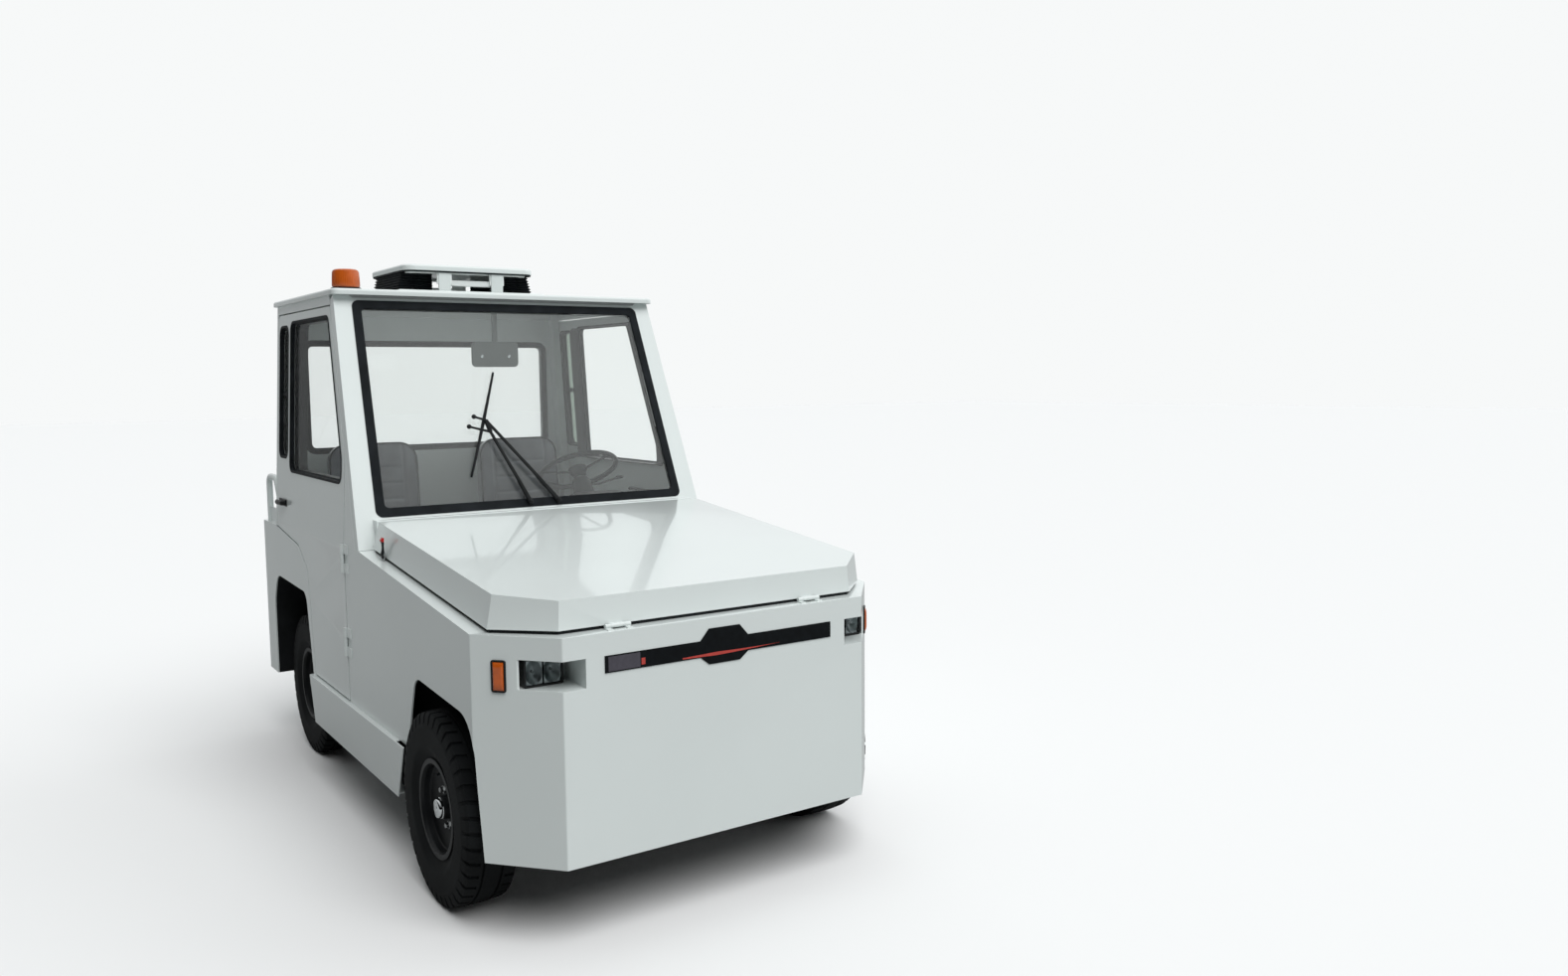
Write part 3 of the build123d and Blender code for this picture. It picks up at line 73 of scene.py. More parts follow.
def turned_camera(azimuth, pitch, roll):
    """Axes of a camera that looks along an azimuth, tips by a pitch and rolls about its own sight line."""
    a, p, r = (math.radians(v) for v in (azimuth, pitch, roll))
    ahead = Vector((-math.sin(a) * math.cos(p), math.cos(a) * math.cos(p), math.sin(p)))
    level = ahead.cross(Vector((0, 0, 1))).normalized()
    above = level.cross(ahead)
    right = math.cos(r) * level + math.sin(r) * above
    up = -math.sin(r) * level + math.cos(r) * above
    return Matrix((right, up, -ahead)).transposed()


camera_data = bpy.data.cameras.new("camera")
camera_data.sensor_width = 36
camera_data.lens = CAMERA_LENS
camera = bpy.data.objects.new("camera", camera_data)
camera.matrix_world = turned_camera(CAMERA_AZIMUTH, CAMERA_PITCH, CAMERA_ROLL).to_4x4()
camera.location = CAMERA_PLACE
bpy.context.scene.collection.objects.link(camera)
bpy.context.scene.camera = camera
print("camera at", CAMERA_PLACE)

# %% [markdown]
# ## Floor and light
# The tug stands in a pale studio. White paint only shows its folds if its faces get different amounts of
# light, so a broad sun stands over the nose and the sky darkens towards the near side: level sheets
# turn bright, the front turns pale grey and the near side falls a step darker. Area lights would leave
# a pool on the floor; suns light it evenly to the horizon.
#
# The studio and its floor look plain and pale, but they throw back less light than they show, as in a
# studio whose ends are screened. A Light Path node tells the two apart: it knows whether a ray comes
# straight from the camera, went through a pane, or has already met a surface.

# %% Floor and light
FLOOR_REACH = 60.0
SUNS = [               # name, the way from the tug to the light, angular size in degrees, strength
    ("overhead", (0.70, -0.02, 1.0), 50, 2.5),
    ("driver_side", (0.20, 1.0, 0.6), 60, 0.35),
]
SKY_AXIS = (-0.35, 0.75, 0.56)         # the sky is brightest along this way
SKY_FROM, SKY_TO = -0.3, 0.6           # share of that way where the sky is darkest and brightest
SKY_DARK, SKY_BRIGHT = 0.0, 0.82
SKY_COLOUR = (0.96, 0.99, 1.0)
BACKDROP = (0.93, 0.945, 0.945)        # what the camera itself sees behind the tug
CAB_SHARE = 0.85                       # of the backdrop's light that falls into the cab


def sun(name, way, spread, strength):
    """A broad sun that shines from a way down on the tug."""
    data = bpy.data.lights.new(name, "SUN")
    data.angle = math.radians(spread)
    data.energy = strength
    light = bpy.data.objects.new(name, data)
    light.rotation_euler = Vector(way).to_track_quat("Z", "Y").to_euler()
    light.visible_glossy = False       # or its wide disc would veil the windshield
    light.visible_transmission = False
    bpy.context.scene.collection.objects.link(light)


def seen_or_through_glass(nodes, links):
    """One where the camera looks straight at the studio or through a pane, and zero for the light that
    reaches a surface. Light that falls into the cab through a pane counts for a share."""
    path = nodes.new("ShaderNodeLightPath")

    def math_step(operation, first, second):
        """The result of a Math node that works on two links or numbers."""
        step = nodes.new("ShaderNodeMath")
        step.operation = operation
        for socket, value in zip(step.inputs, (first, second)):
            if isinstance(value, float):
                socket.default_value = value
            else:
                links.new(value, socket)
        return step.outputs["Value"]

    bounces = math_step("ADD", path.outputs["Diffuse Depth"], path.outputs["Glossy Depth"])
    straight = math_step("LESS_THAN", bounces, 0.5)
    from_surface = math_step("GREATER_THAN", path.outputs["Diffuse Depth"], 0.5)
    in_cab = math_step("MULTIPLY", from_surface, CAB_SHARE)
    either_way = math_step("ADD", straight, in_cab)
    through = math_step("MULTIPLY", either_way, path.outputs["Is Transmission Ray"])
    return math_step("MAXIMUM", through, path.outputs["Is Camera Ray"])


for row in SUNS:
    sun(*row)
print("suns:", len(SUNS))

# %% Sky and backdrop
world = bpy.data.worlds.new("studio")
world.use_nodes = True
sky_nodes, sky_links = world.node_tree.nodes, world.node_tree.links
sky_place = sky_nodes.new("ShaderNodeTexCoord")
sky_share = sky_nodes.new("ShaderNodeVectorMath")
sky_share.operation = "DOT_PRODUCT"
sky_share.inputs[1].default_value = SKY_AXIS
sky_links.new(sky_place.outputs["Generated"], sky_share.inputs[0])
sky_range = sky_nodes.new("ShaderNodeMapRange")
sky_range.inputs["From Min"].default_value = SKY_FROM
sky_range.inputs["From Max"].default_value = SKY_TO
sky_range.inputs["To Min"].default_value = SKY_DARK
sky_range.inputs["To Max"].default_value = SKY_BRIGHT
sky_links.new(sky_share.outputs["Value"], sky_range.inputs["Value"])
sky_links.new(sky_range.outputs["Result"], sky_nodes["Background"].inputs["Strength"])
sky_nodes["Background"].inputs["Color"].default_value = (*SKY_COLOUR, 1)
backdrop = sky_nodes.new("ShaderNodeBackground")
backdrop.inputs["Color"].default_value = (*BACKDROP, 1)
either = sky_nodes.new("ShaderNodeMixShader")
sky_links.new(seen_or_through_glass(sky_nodes, sky_links), either.inputs["Fac"])
sky_links.new(sky_nodes["Background"].outputs["Background"], either.inputs[1])
sky_links.new(backdrop.outputs["Background"], either.inputs[2])
sky_links.new(either.outputs["Shader"], sky_nodes["World Output"].inputs["Surface"])
bpy.context.scene.world = world
bpy.context.scene.view_settings.view_transform = "Standard"
print("sky from", SKY_DARK, "to", SKY_BRIGHT)

# %% [markdown]
# ## Finishes
# Every finish is built from the same few steps: a principled surface, a noise that moves its colour a
# little, and fine bumps at the grain's real size. Image textures would need a map for each piece; noise
# read in object coordinates needs none, because all the pieces share one frame.

# %% Finish helpers


def finish(name, colour, roughness, metallic=0.0, coat=0.0, coat_roughness=0.05, spread=0.0,
           spread_scale=3.0, grain=0.0, grain_scale=300.0, grain_kind="noise", painted_glow=0.0, shine=0.5):
    """A principled finish: base colour moved up and down by noise, and a fine bump of noise or cells."""
    material = bpy.data.materials.new(name)
    material.use_nodes = True
    nodes, links = material.node_tree.nodes, material.node_tree.links
    surface = nodes["Principled BSDF"]
    surface.inputs["Base Color"].default_value = (*colour, 1)
    surface.inputs["Roughness"].default_value = roughness
    surface.inputs["Metallic"].default_value = metallic
    surface.inputs["Specular IOR Level"].default_value = shine
    surface.inputs["Coat Weight"].default_value = coat
    surface.inputs["Coat Roughness"].default_value = coat_roughness
    # painted glow: an emission in the finish's own colour brightens it, though no lamp in it is lit
    if painted_glow:
        surface.inputs["Emission Color"].default_value = (*colour, 1)
        surface.inputs["Emission Strength"].default_value = painted_glow
    place = nodes.new("ShaderNodeTexCoord")
    if spread:
        cloud = nodes.new("ShaderNodeTexNoise")
        cloud.inputs["Scale"].default_value = spread_scale
        cloud.inputs["Detail"].default_value = 5
        links.new(place.outputs["Object"], cloud.inputs["Vector"])
        shades = nodes.new("ShaderNodeValToRGB")
        shades.color_ramp.elements[0].position = 0.35
        shades.color_ramp.elements[1].position = 0.65
        shades.color_ramp.elements[0].color = (*(max(c * (1 - spread), 0) for c in colour), 1)
        shades.color_ramp.elements[1].color = (*(min(c * (1 + spread), 1) for c in colour), 1)
        links.new(cloud.outputs["Fac"], shades.inputs["Fac"])
        links.new(shades.outputs["Color"], surface.inputs["Base Color"])
    if grain:
        if grain_kind == "cells":
            texture = nodes.new("ShaderNodeTexVoronoi")
            height = texture.outputs["Distance"]
        else:
            texture = nodes.new("ShaderNodeTexNoise")
            texture.inputs["Detail"].default_value = 4
            height = texture.outputs["Fac"]
        texture.inputs["Scale"].default_value = grain_scale
        links.new(place.outputs["Object"], texture.inputs["Vector"])
        bump = nodes.new("ShaderNodeBump")
        bump.inputs["Strength"].default_value = grain
        bump.inputs["Distance"].default_value = 0.001
        links.new(height, bump.inputs["Height"])
        links.new(bump.outputs["Normal"], surface.inputs["Normal"])
    return material


def clear(name, colour, roughness=0.0, index=1.45, haze=0.0):
    """A clear, lightly tinted solid such as glass or a lamp's lens. Haze is the share that a film of dust
    covers: it scatters light as a dull surface does, and veils what lies behind."""
    material = finish(name, colour, roughness)
    surface = material.node_tree.nodes["Principled BSDF"]
    surface.inputs["Transmission Weight"].default_value = 1.0 - haze
    surface.inputs["IOR"].default_value = index
    return material


# %% [markdown]
# ### Paint, rubber, glass and metals
# The body is sprayed gloss white, so it gets a clear coat over a faint orange-peel bump. Rubber and
# moulded plastic have no coat and a cell grain. The glass is tinted slightly green, as safety glass is.
# The amber and red plastics get a faint painted glow, an emission that brightens them as light spreading
# inside them would; the red latch tips, which are no lamps, carry it too. A small share of dull haze
# stands for the dust on the windshield. The doors' panes are seen almost edge-on, where real glass turns
# into a mirror, so they bend the light very little and stay clear.

# %% Finishes
FINISHES = {
    "white_paint": finish("white_paint", (0.685, 0.735, 0.725), 0.28, coat=0.7, spread=0.015,
                          spread_scale=1.4, grain=0.02, grain_scale=260),
    "black_paint": finish("black_paint", (0.009, 0.010, 0.011), 0.42, spread=0.3, spread_scale=9,
                          grain=0.08, grain_scale=320, shine=0.28),
    "grey_paint": finish("grey_paint", (0.22, 0.24, 0.24), 0.45, spread=0.06, spread_scale=5,
                         grain=0.05, grain_scale=400),
    "battery_grey": finish("battery_grey", (0.09, 0.10, 0.105), 0.5, spread=0.1, grain=0.1,
                           grain_scale=240),
    "grey_plastic": finish("grey_plastic", (0.170, 0.190, 0.185), 0.55, spread=0.05, grain=0.25,
                           grain_scale=900, grain_kind="cells"),
    "black_plastic": finish("black_plastic", (0.010, 0.011, 0.012), 0.42, spread=0.2, spread_scale=20,
                            grain=0.2, grain_scale=1000, grain_kind="cells", shine=0.3),
    "black_band": finish("black_band", (0.003, 0.004, 0.005), 0.30, spread=0.3, spread_scale=40,
                         shine=0.15),
    "black_rubber": finish("black_rubber", (0.010, 0.012, 0.014), 0.62, spread=0.25, spread_scale=14,
                           grain=0.12, grain_scale=700, shine=0.2),
    "tyre": finish("tyre", (0.0075, 0.0085, 0.009), 0.74, spread=0.35, spread_scale=6, grain=0.3,
                   grain_scale=260, shine=0.2),
    "seat_vinyl": finish("seat_vinyl", (0.080, 0.090, 0.105), 0.34, coat=0.6, coat_roughness=0.12,
                         spread=0.2, spread_scale=12, grain=0.9, grain_scale=46),
    "steel": finish("steel", (0.50, 0.51, 0.51), 0.3, metallic=1.0, spread=0.08, spread_scale=30,
                    grain=0.06, grain_scale=500),
    "cast_iron": finish("cast_iron", (0.03, 0.031, 0.032), 0.55, metallic=0.2, spread=0.3,
                        spread_scale=25, grain=0.5, grain_scale=180),
    # a faint painted glow brightens the amber and red plastics; the red latch tips carry it too, though
    # they are no lamps
    "amber_plastic": finish("amber_plastic", (0.50, 0.095, 0.010), 0.2, coat=0.4, spread=0.1,
                            spread_scale=30, painted_glow=0.03),
    "red_plastic": finish("red_plastic", (0.46, 0.010, 0.008), 0.2, coat=0.5, spread=0.12,
                          spread_scale=30, painted_glow=0.04),
    "glass": clear("glass", (0.965, 0.99, 0.98), haze=0.055),
    "lamp_glass": clear("lamp_glass", (0.96, 0.98, 0.98), 0.02),
}
print("finishes for slots:", len(FINISHES))

# %% Finishes of single pieces, and of the floor
reflector = finish("reflector", (0.40, 0.42, 0.43), 0.34, metallic=1.0, spread=0.1, spread_scale=40)
side_glass = clear("side_glass", (0.975, 0.99, 0.985), 0.0, 1.04, haze=0.015)
lamp_lens = clear("lamp_lens", (0.90, 0.93, 0.93), 0.0, 1.04)
# a dark olive film behind the quarter panes: painted shade that darkens the view through them
painted_shade_film = clear("painted_shade_film", (0.30, 0.36, 0.31), 0.03)
chrome = finish("chrome", (0.82, 0.84, 0.85), 0.08, metallic=1.0, spread=0.04, spread_scale=60)
bulb_glass = clear("bulb_glass", (0.97, 0.98, 0.98), 0.06)
red_line = finish("red_line", (0.44, 0.034, 0.022), 0.2, coat=0.8, spread=0.08, spread_scale=60)
white_plastic = finish("white_plastic", (0.74, 0.77, 0.76), 0.4, spread=0.03, grain=0.05)
FLOOR_SEEN, FLOOR_THROWN = (0.765, 0.77, 0.77), (0.33, 0.34, 0.34)   # for the camera and for the light
floor_white = finish("floor_white", FLOOR_SEEN, 0.95)
floor_nodes, floor_links = floor_white.node_tree.nodes, floor_white.node_tree.links
floor_dark = floor_nodes.new("ShaderNodeBsdfDiffuse")
floor_dark.inputs["Color"].default_value = (*FLOOR_THROWN, 1)
floor_mix = floor_nodes.new("ShaderNodeMixShader")
floor_links.new(seen_or_through_glass(floor_nodes, floor_links), floor_mix.inputs["Fac"])
floor_links.new(floor_dark.outputs["BSDF"], floor_mix.inputs[1])
floor_links.new(floor_nodes["Principled BSDF"].outputs["BSDF"], floor_mix.inputs[2])
floor_links.new(floor_mix.outputs["Shader"], floor_nodes["Material Output"].inputs["Surface"])
print("the floor shows", FLOOR_SEEN, "and throws back", FLOOR_THROWN)

# %% [markdown]
# ## Helpers for surfaces
# A shape is an array of points on a grid: its rows follow one parameter and its columns the other. One
# function joins neighbouring points into quads, and the others work out the points: by turning a
# profile about an axis, or by carrying a section along a path.

# %% Meshes from arrays
AHEAD, LEFT, UP = (1, 0, 0), (0, 1, 0), (0, 0, 1)
ORIGIN = (0, 0, 0)


def grid_faces(rows, columns, wrap_rows=False, wrap_columns=False):
    """Quads between the neighbours of a grid of points, wrapped round where an edge meets itself."""
    row = np.arange(rows if wrap_rows else rows - 1)
    column = np.arange(columns if wrap_columns else columns - 1)
    row, column = np.meshgrid(row, column, indexing="ij")
    below, beside = (row + 1) % rows, (column + 1) % columns
    corners = ((row, column), (below, column), (below, beside), (row, beside))
    return np.stack([r * columns + c for r, c in corners], axis=-1).reshape(-1, 4)


def capped(rows, columns):
    """Faces of a closed form made of rings: the quads between the rings, and a cap at each end."""
    faces = [tuple(face) for face in grid_faces(rows, columns, wrap_columns=True)]
    return faces + [tuple(range(columns)), tuple(range((rows - 1) * columns, rows * columns))[::-1]]


def lay(name, points, faces, slot, body, material=None, smooth=True, replaces=(), crease=35):
    """A mesh object made of points and faces, with its finish, riding on a body."""
    mesh = bpy.data.meshes.new(name)
    corners = np.asarray(points, float).reshape(-1, 3).tolist()
    mesh.from_pydata(corners, [], [list(map(int, face)) for face in faces])
    mesh.validate()
    work = bmesh.new()
    work.from_mesh(mesh)
    bmesh.ops.remove_doubles(work, verts=work.verts, dist=2e-6)
    bmesh.ops.recalc_face_normals(work, faces=work.faces)
    work.to_mesh(mesh)
    work.free()
    piece = bpy.data.objects.new(name, mesh)
    bpy.context.scene.collection.objects.link(piece)
    mesh.materials.append(material or FINISHES[slot])
    if smooth:
        mesh.shade_smooth()
        mesh.set_sharp_from_angle(angle=math.radians(crease))
    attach(piece, body)
    if replaces:
        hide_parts(*replaces)
    return piece


def joined(*shapes):
    """Several (points, faces) shapes as one, with the later faces counted on from the earlier points."""
    points, faces, start = [], [], 0
    for shape_points, shape_faces in shapes:
        shape_points = np.asarray(shape_points, float).reshape(-1, 3)
        points.append(shape_points)
        faces.extend([tuple(int(i) + start for i in face) for face in shape_faces])
        start += len(shape_points)
    return np.concatenate(points), faces


def mirrored(shape):
    """A shape and its twin across the plane Y = 0."""
    points, faces = shape
    twin = np.asarray(points, float).reshape(-1, 3) * (1, -1, 1)
    return joined(shape, (twin, [tuple(reversed(tuple(face))) for face in faces]))


def axes_for(direction):
    """Two unit vectors at right angles to a direction and to each other."""
    along = np.asarray(direction, float) / np.linalg.norm(direction)
    helper = np.array((0.0, 0.0, 1.0)) if abs(along[2]) < 0.9 else np.array((1.0, 0.0, 0.0))
    across = np.cross(helper, along)
    across /= np.linalg.norm(across)
    return along, across, np.cross(along, across)


def turned(profile, centre, direction, steps=48, wave=None):
    """A profile of (distance along the axis, radius) turned about it. The radius may be moved by a wave
    of the turning angle: point = centre + distance * axis + radius * (cos, sin) across the axis."""
    along, across, up = axes_for(direction)
    profile = np.asarray(profile, float)
    angle = np.linspace(0, 2 * np.pi, steps, endpoint=False)[:, None]
    radius = profile[None, :, 1] * np.ones_like(angle)
    if wave is not None:
        radius = radius + wave(angle, profile[None, :, 0], radius)
    points = (np.asarray(centre, float) + profile[None, :, 0, None] * along
              + (radius * np.cos(angle))[..., None] * across + (radius * np.sin(angle))[..., None] * up)
    return points.reshape(-1, 3), grid_faces(steps, len(profile), wrap_rows=True)


print("a turned cone has", len(turned([(0, 1), (1, 0)], ORIGIN, UP)[1]), "faces")

# %% Paths, strips and tubes


def rounded(points, radii, steps=6, closed=True):
    """A path whose corners are replaced by arcs: each arc touches both runs at the distance
    radius / tan(half the corner), and its points are spaced evenly in angle."""
    points = [np.asarray(p, float) for p in points]
    path, count = [], len(points)
    for i, corner in enumerate(points):
        if (not closed and i in (0, count - 1)) or radii[i] == 0:
            path.append(corner)
            continue
        to_last = points[i - 1] - corner
        to_next = points[(i + 1) % count] - corner
        to_last, to_next = to_last / np.linalg.norm(to_last), to_next / np.linalg.norm(to_next)
        half = math.acos(float(np.clip(to_last @ to_next, -1, 1))) / 2
        middle = (to_last + to_next) / np.linalg.norm(to_last + to_next)
        centre = corner + middle * radii[i] / math.sin(half)
        first = corner + to_last * radii[i] / math.tan(half) - centre
        last = corner + to_next * radii[i] / math.tan(half) - centre
        sweep = math.pi - 2 * half
        for t in np.arange(steps + 1) / steps:
            arm = math.sin((1 - t) * sweep) * first + math.sin(t * sweep) * last
            path.append(centre + arm / math.sin(sweep))
    return np.array(path)


def round_rectangle(middle, first_half, second_half, bend, steps=6):
    """The rounded outline of a rectangle, from its middle and its two half sides as vectors."""
    middle, first_half, second_half = (np.asarray(v, float) for v in (middle, first_half, second_half))
    signs = ((-1, -1), (1, -1), (1, 1), (-1, 1))
    return rounded([middle + a * first_half + b * second_half for a, b in signs], [bend] * 4, steps)


def strip(path, normal, section, closed=True):
    """A section of (sideways, outwards) offsets carried along a path that keeps one normal. At a bend
    the sideways offset is divided by the cosine of half the turn, as in a mitred frame."""
    path = np.asarray(path, float)
    normal = np.asarray(normal, float) * np.ones_like(path)
    section = np.asarray(section, float)
    if closed:
        before, after = path - np.roll(path, 1, 0), np.roll(path, -1, 0) - path
    else:
        before = np.diff(path, axis=0, prepend=path[:1] * 2 - path[1:2])
        after = np.diff(path, axis=0, append=path[-1:] * 2 - path[-2:-1])
    before /= np.linalg.norm(before, axis=1, keepdims=True)
    after /= np.linalg.norm(after, axis=1, keepdims=True)
    tangent = before + after
    tangent /= np.linalg.norm(tangent, axis=1, keepdims=True)
    side = np.cross(tangent, normal)
    side /= np.linalg.norm(side, axis=1, keepdims=True)
    stretch = 1 / np.clip(np.einsum("ij,ij->i", tangent, before), 0.3, 1)
    points = (path[:, None] + section[None, :, 0, None] * (side * stretch[:, None])[:, None]
              + section[None, :, 1, None] * normal[:, None])
    rows, columns = len(path), len(section)
    if closed:
        faces = [tuple(face) for face in grid_faces(rows, columns, wrap_rows=True, wrap_columns=True)]
    else:
        faces = capped(rows, columns)
    return points.reshape(-1, 3), faces


def bar_section(width, low, high, round_off=0.0015):
    """A rectangle from low to high, centred sideways, with its corners cut by a small bevel."""
    w, r = width / 2, round_off
    return [(-w, low + r), (-w, high - r), (-w + r, high), (w - r, high), (w, high - r), (w, low + r),
            (w - r, low), (-w + r, low)]


def tube(path, radius, steps=10):
    """A round tube along any path: each ring stands across the path, and its frame is turned from the
    last one by the smallest turn that follows the path."""
    path = np.asarray(path, float)
    tangent = np.gradient(path, axis=0)
    tangent /= np.linalg.norm(tangent, axis=1, keepdims=True)
    across = axes_for(tangent[0])[1]
    rings, angle = [], np.linspace(0, 2 * np.pi, steps, endpoint=False)
    for point, along in zip(path, tangent):
        across = across - along * (across @ along)
        across /= np.linalg.norm(across)
        up = np.cross(along, across)
        rings.append(point + radius * (np.cos(angle)[:, None] * across + np.sin(angle)[:, None] * up))
    return np.array(rings).reshape(-1, 3), capped(len(path), steps)


print("a corner of 90 degrees has", len(rounded([(1, 0, 0), (0, 0, 0), (0, 1, 0)], [0, 0.5, 0],
                                                closed=False)) - 2, "points")

# %% Boxes and bolts


def box_shape(low, high, bevel=0.0015):
    """A box whose eight corners are cut: three rings of points from its lower to its upper face."""
    low, high = np.asarray(low, float), np.asarray(high, float)
    bevel = min(bevel, 0.45 * float((high - low).min()))
    rings = []
    for inset, z in ((bevel, low[2]), (0, low[2] + bevel), (0, high[2] - bevel), (bevel, high[2])):
        x0, y0, x1, y1 = low[0] + inset, low[1] + inset, high[0] - inset, high[1] - inset
        b = bevel
        rings.append([(x0 + b, y0, z), (x1 - b, y0, z), (x1, y0 + b, z), (x1, y1 - b, z),
                      (x1 - b, y1, z), (x0 + b, y1, z), (x0, y1 - b, z), (x0, y0 + b, z)])
    return np.array(rings).reshape(-1, 3), capped(4, 8)


def repeated(shape, places, direction):
    """Copies of a small shape, made round the origin and pointing along Z, set at places and turned so
    that they point along a direction."""
    points, faces = shape
    along, across, up = axes_for(direction)
    turned_points = np.asarray(points) @ np.array((across, up, along))
    return joined(*[(turned_points + np.asarray(place), faces) for place in places])


def bolt(radius, height):
    """A hexagon head on its washer, pointing along Z, with the head's edge chamfered."""
    washer = [(0, 0), (0, radius * 1.35), (height * 0.22, radius * 1.35), (height * 0.22, radius * 0.8)]
    head = [(height * 0.2, radius), (height * 0.86, radius), (height, radius * 0.84), (height, 0)]
    return joined(turned(washer, ORIGIN, UP, 18), turned(head, ORIGIN, UP, 6))


print("helpers ready")

# %% [markdown]
# ## Steelwork
# Folded sheet has small rounded edges that catch the light, and it is those lines that make a body look
# like steel. The pieces from the construction model have sharp edges, so each one is copied, its loose
# triangles are merged and joined into whole faces again, and its edges are rounded by a millimetre or
# two. A bevel computed in the shader would be quicker, but it would be lost with the meshes.

# %% Rounded copies of the steelwork
FLAT_WITHIN, SHARP_FROM, ROUND_FROM = 0.6, 32, 40      # angles between two faces, in degrees


def dress(node, width=0.0012, material=None, segments=2):
    """A copy of a construction piece with merged faces and rounded edges, standing for that piece."""
    source = frame["nodes"][node]
    mesh = source.data.copy()
    work = bmesh.new()
    work.from_mesh(mesh)
    bmesh.ops.remove_doubles(work, verts=work.verts, dist=1e-5)
    bmesh.ops.dissolve_limit(
        work, angle_limit=math.radians(FLAT_WITHIN), verts=work.verts, edges=work.edges, delimit={"NORMAL"}
    )
    work.to_mesh(mesh)
    work.free()
    mesh.materials.clear()
    mesh.materials.append(material or FINISHES[slot_of_node[node]])
    piece = bpy.data.objects.new(node + "_finished", mesh)
    bpy.context.scene.collection.objects.link(piece)
    mesh.shade_smooth()
    mesh.set_sharp_from_angle(angle=math.radians(SHARP_FROM))
    if width:
        rounding = piece.modifiers.new("rounding", "BEVEL")
        rounding.width = width
        rounding.segments = segments
        rounding.limit_method = "ANGLE"
        rounding.angle_limit = math.radians(ROUND_FROM)
        rounding.use_clamp_overlap = True
        rounding.harden_normals = True
    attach(piece, body_of_node[node])
    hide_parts(node)
    return piece


STEELWORK = {          # node: width of the rounding, in metres
    "nose_shell": 0.0014, "hood": 0.0015, "cab_frame": 0.003, "rear_body": 0.0014, "rear_wall": 0.003,
    "roof_panel": 0.002, "sill_steps": 0.002, "door_left": 0.0022, "door_right": 0.0022,
    "arch_liners": 0.0008, "chassis_frame": 0.003, "cab_floor": 0.0012, "front_axle": 0.0018,
    "knuckle_left": 0.002, "knuckle_right": 0.002, "tie_rod": 0.001, "rear_axle": 0.002,
    "tow_hitch": 0.002, "tow_pin": 0.001, "battery_pack": 0.004, "hatch_frame": 0.0015,
    "front_band": 0.0006, "dashboard": 0.003, "rubber_seals": 0.0015, "interior_mirror": 0.002,
}
PANES = {"cab_glass": FINISHES["glass"], "door_glass_left": side_glass, "door_glass_right": side_glass}
for node, width in STEELWORK.items():
    dress(node, width)
for node, material in PANES.items():
    frame["nodes"][node].data.materials.clear()
    frame["nodes"][node].data.materials.append(material)
print("steelwork:", len(STEELWORK), "pieces")

# %% [markdown]
# ## Tyres
# The tyres are 7.00-12 industrial tyres: a round-shouldered section, a tread with two straight grooves
# and short slots over the shoulders, and raised rings on the walls. A bump map would keep the outline
# smooth, so the tread is cut into the surface itself. The rows of the grid are set where the slots
# begin and end, which gives crisp edges with few faces.

# %% Tyres
TYRE_RADIUS = 0.338
TYRE_BORE = 0.1603
CROWN_HALF = 0.083     # half width of the tread
CROWN_DROP = 0.0045    # the tread is this much lower at its shoulders
TREAD_DEPTH = 0.0075
TREAD_PITCHES = 40
SLOT_ROWS = [(0.00, 1), (0.02, 0), (0.26, 0), (0.50, 0), (0.74, 0), (0.76, 1)]   # share of a pitch, cut
SLOT_SLANT = 0.35      # of a pitch, from the middle of the tread to its edge
GROOVE_IN, GROOVE_OUT = 0.0290, 0.0370
WALL_RINGS = [(0.262, 0.004), (0.200, 0.005)]          # radius and width of a ring on the wall
WALL_RING_HEIGHT = 0.0012


def bell(distance, width):
    """A rounded hump: exp(-(distance / width) ** 2), which is one in the middle and fades on both sides."""
    return np.exp(-(distance / width) ** 2)


def tyre_section():
    """Half of the section, from the bead to the middle of the tread: a rounded wall and a crown that
    falls by the square of the distance from the middle."""
    wall = rounded(
        [(0.062, TYRE_BORE, 0), (0.0745, 0.1625, 0), (0.0765, 0.1800, 0), (0.0945, 0.2160, 0),
         (0.0950, 0.2860, 0), (0.0890, 0.3210, 0), (CROWN_HALF, TYRE_RADIUS - CROWN_DROP, 0)],
        [0, 0.004, 0.02, 0.045, 0.05, 0.03, 0], steps=5, closed=False,
    )[:, :2]
    across = np.array([0.078, 0.056, 0.0465, 0.045, 0.0375, 0.036, 0.030, 0.0285, 0.014, 0.0])
    crown = TYRE_RADIUS - CROWN_DROP * (across / CROWN_HALF) ** 2
    return np.concatenate((wall, np.stack((across, crown), axis=1)))


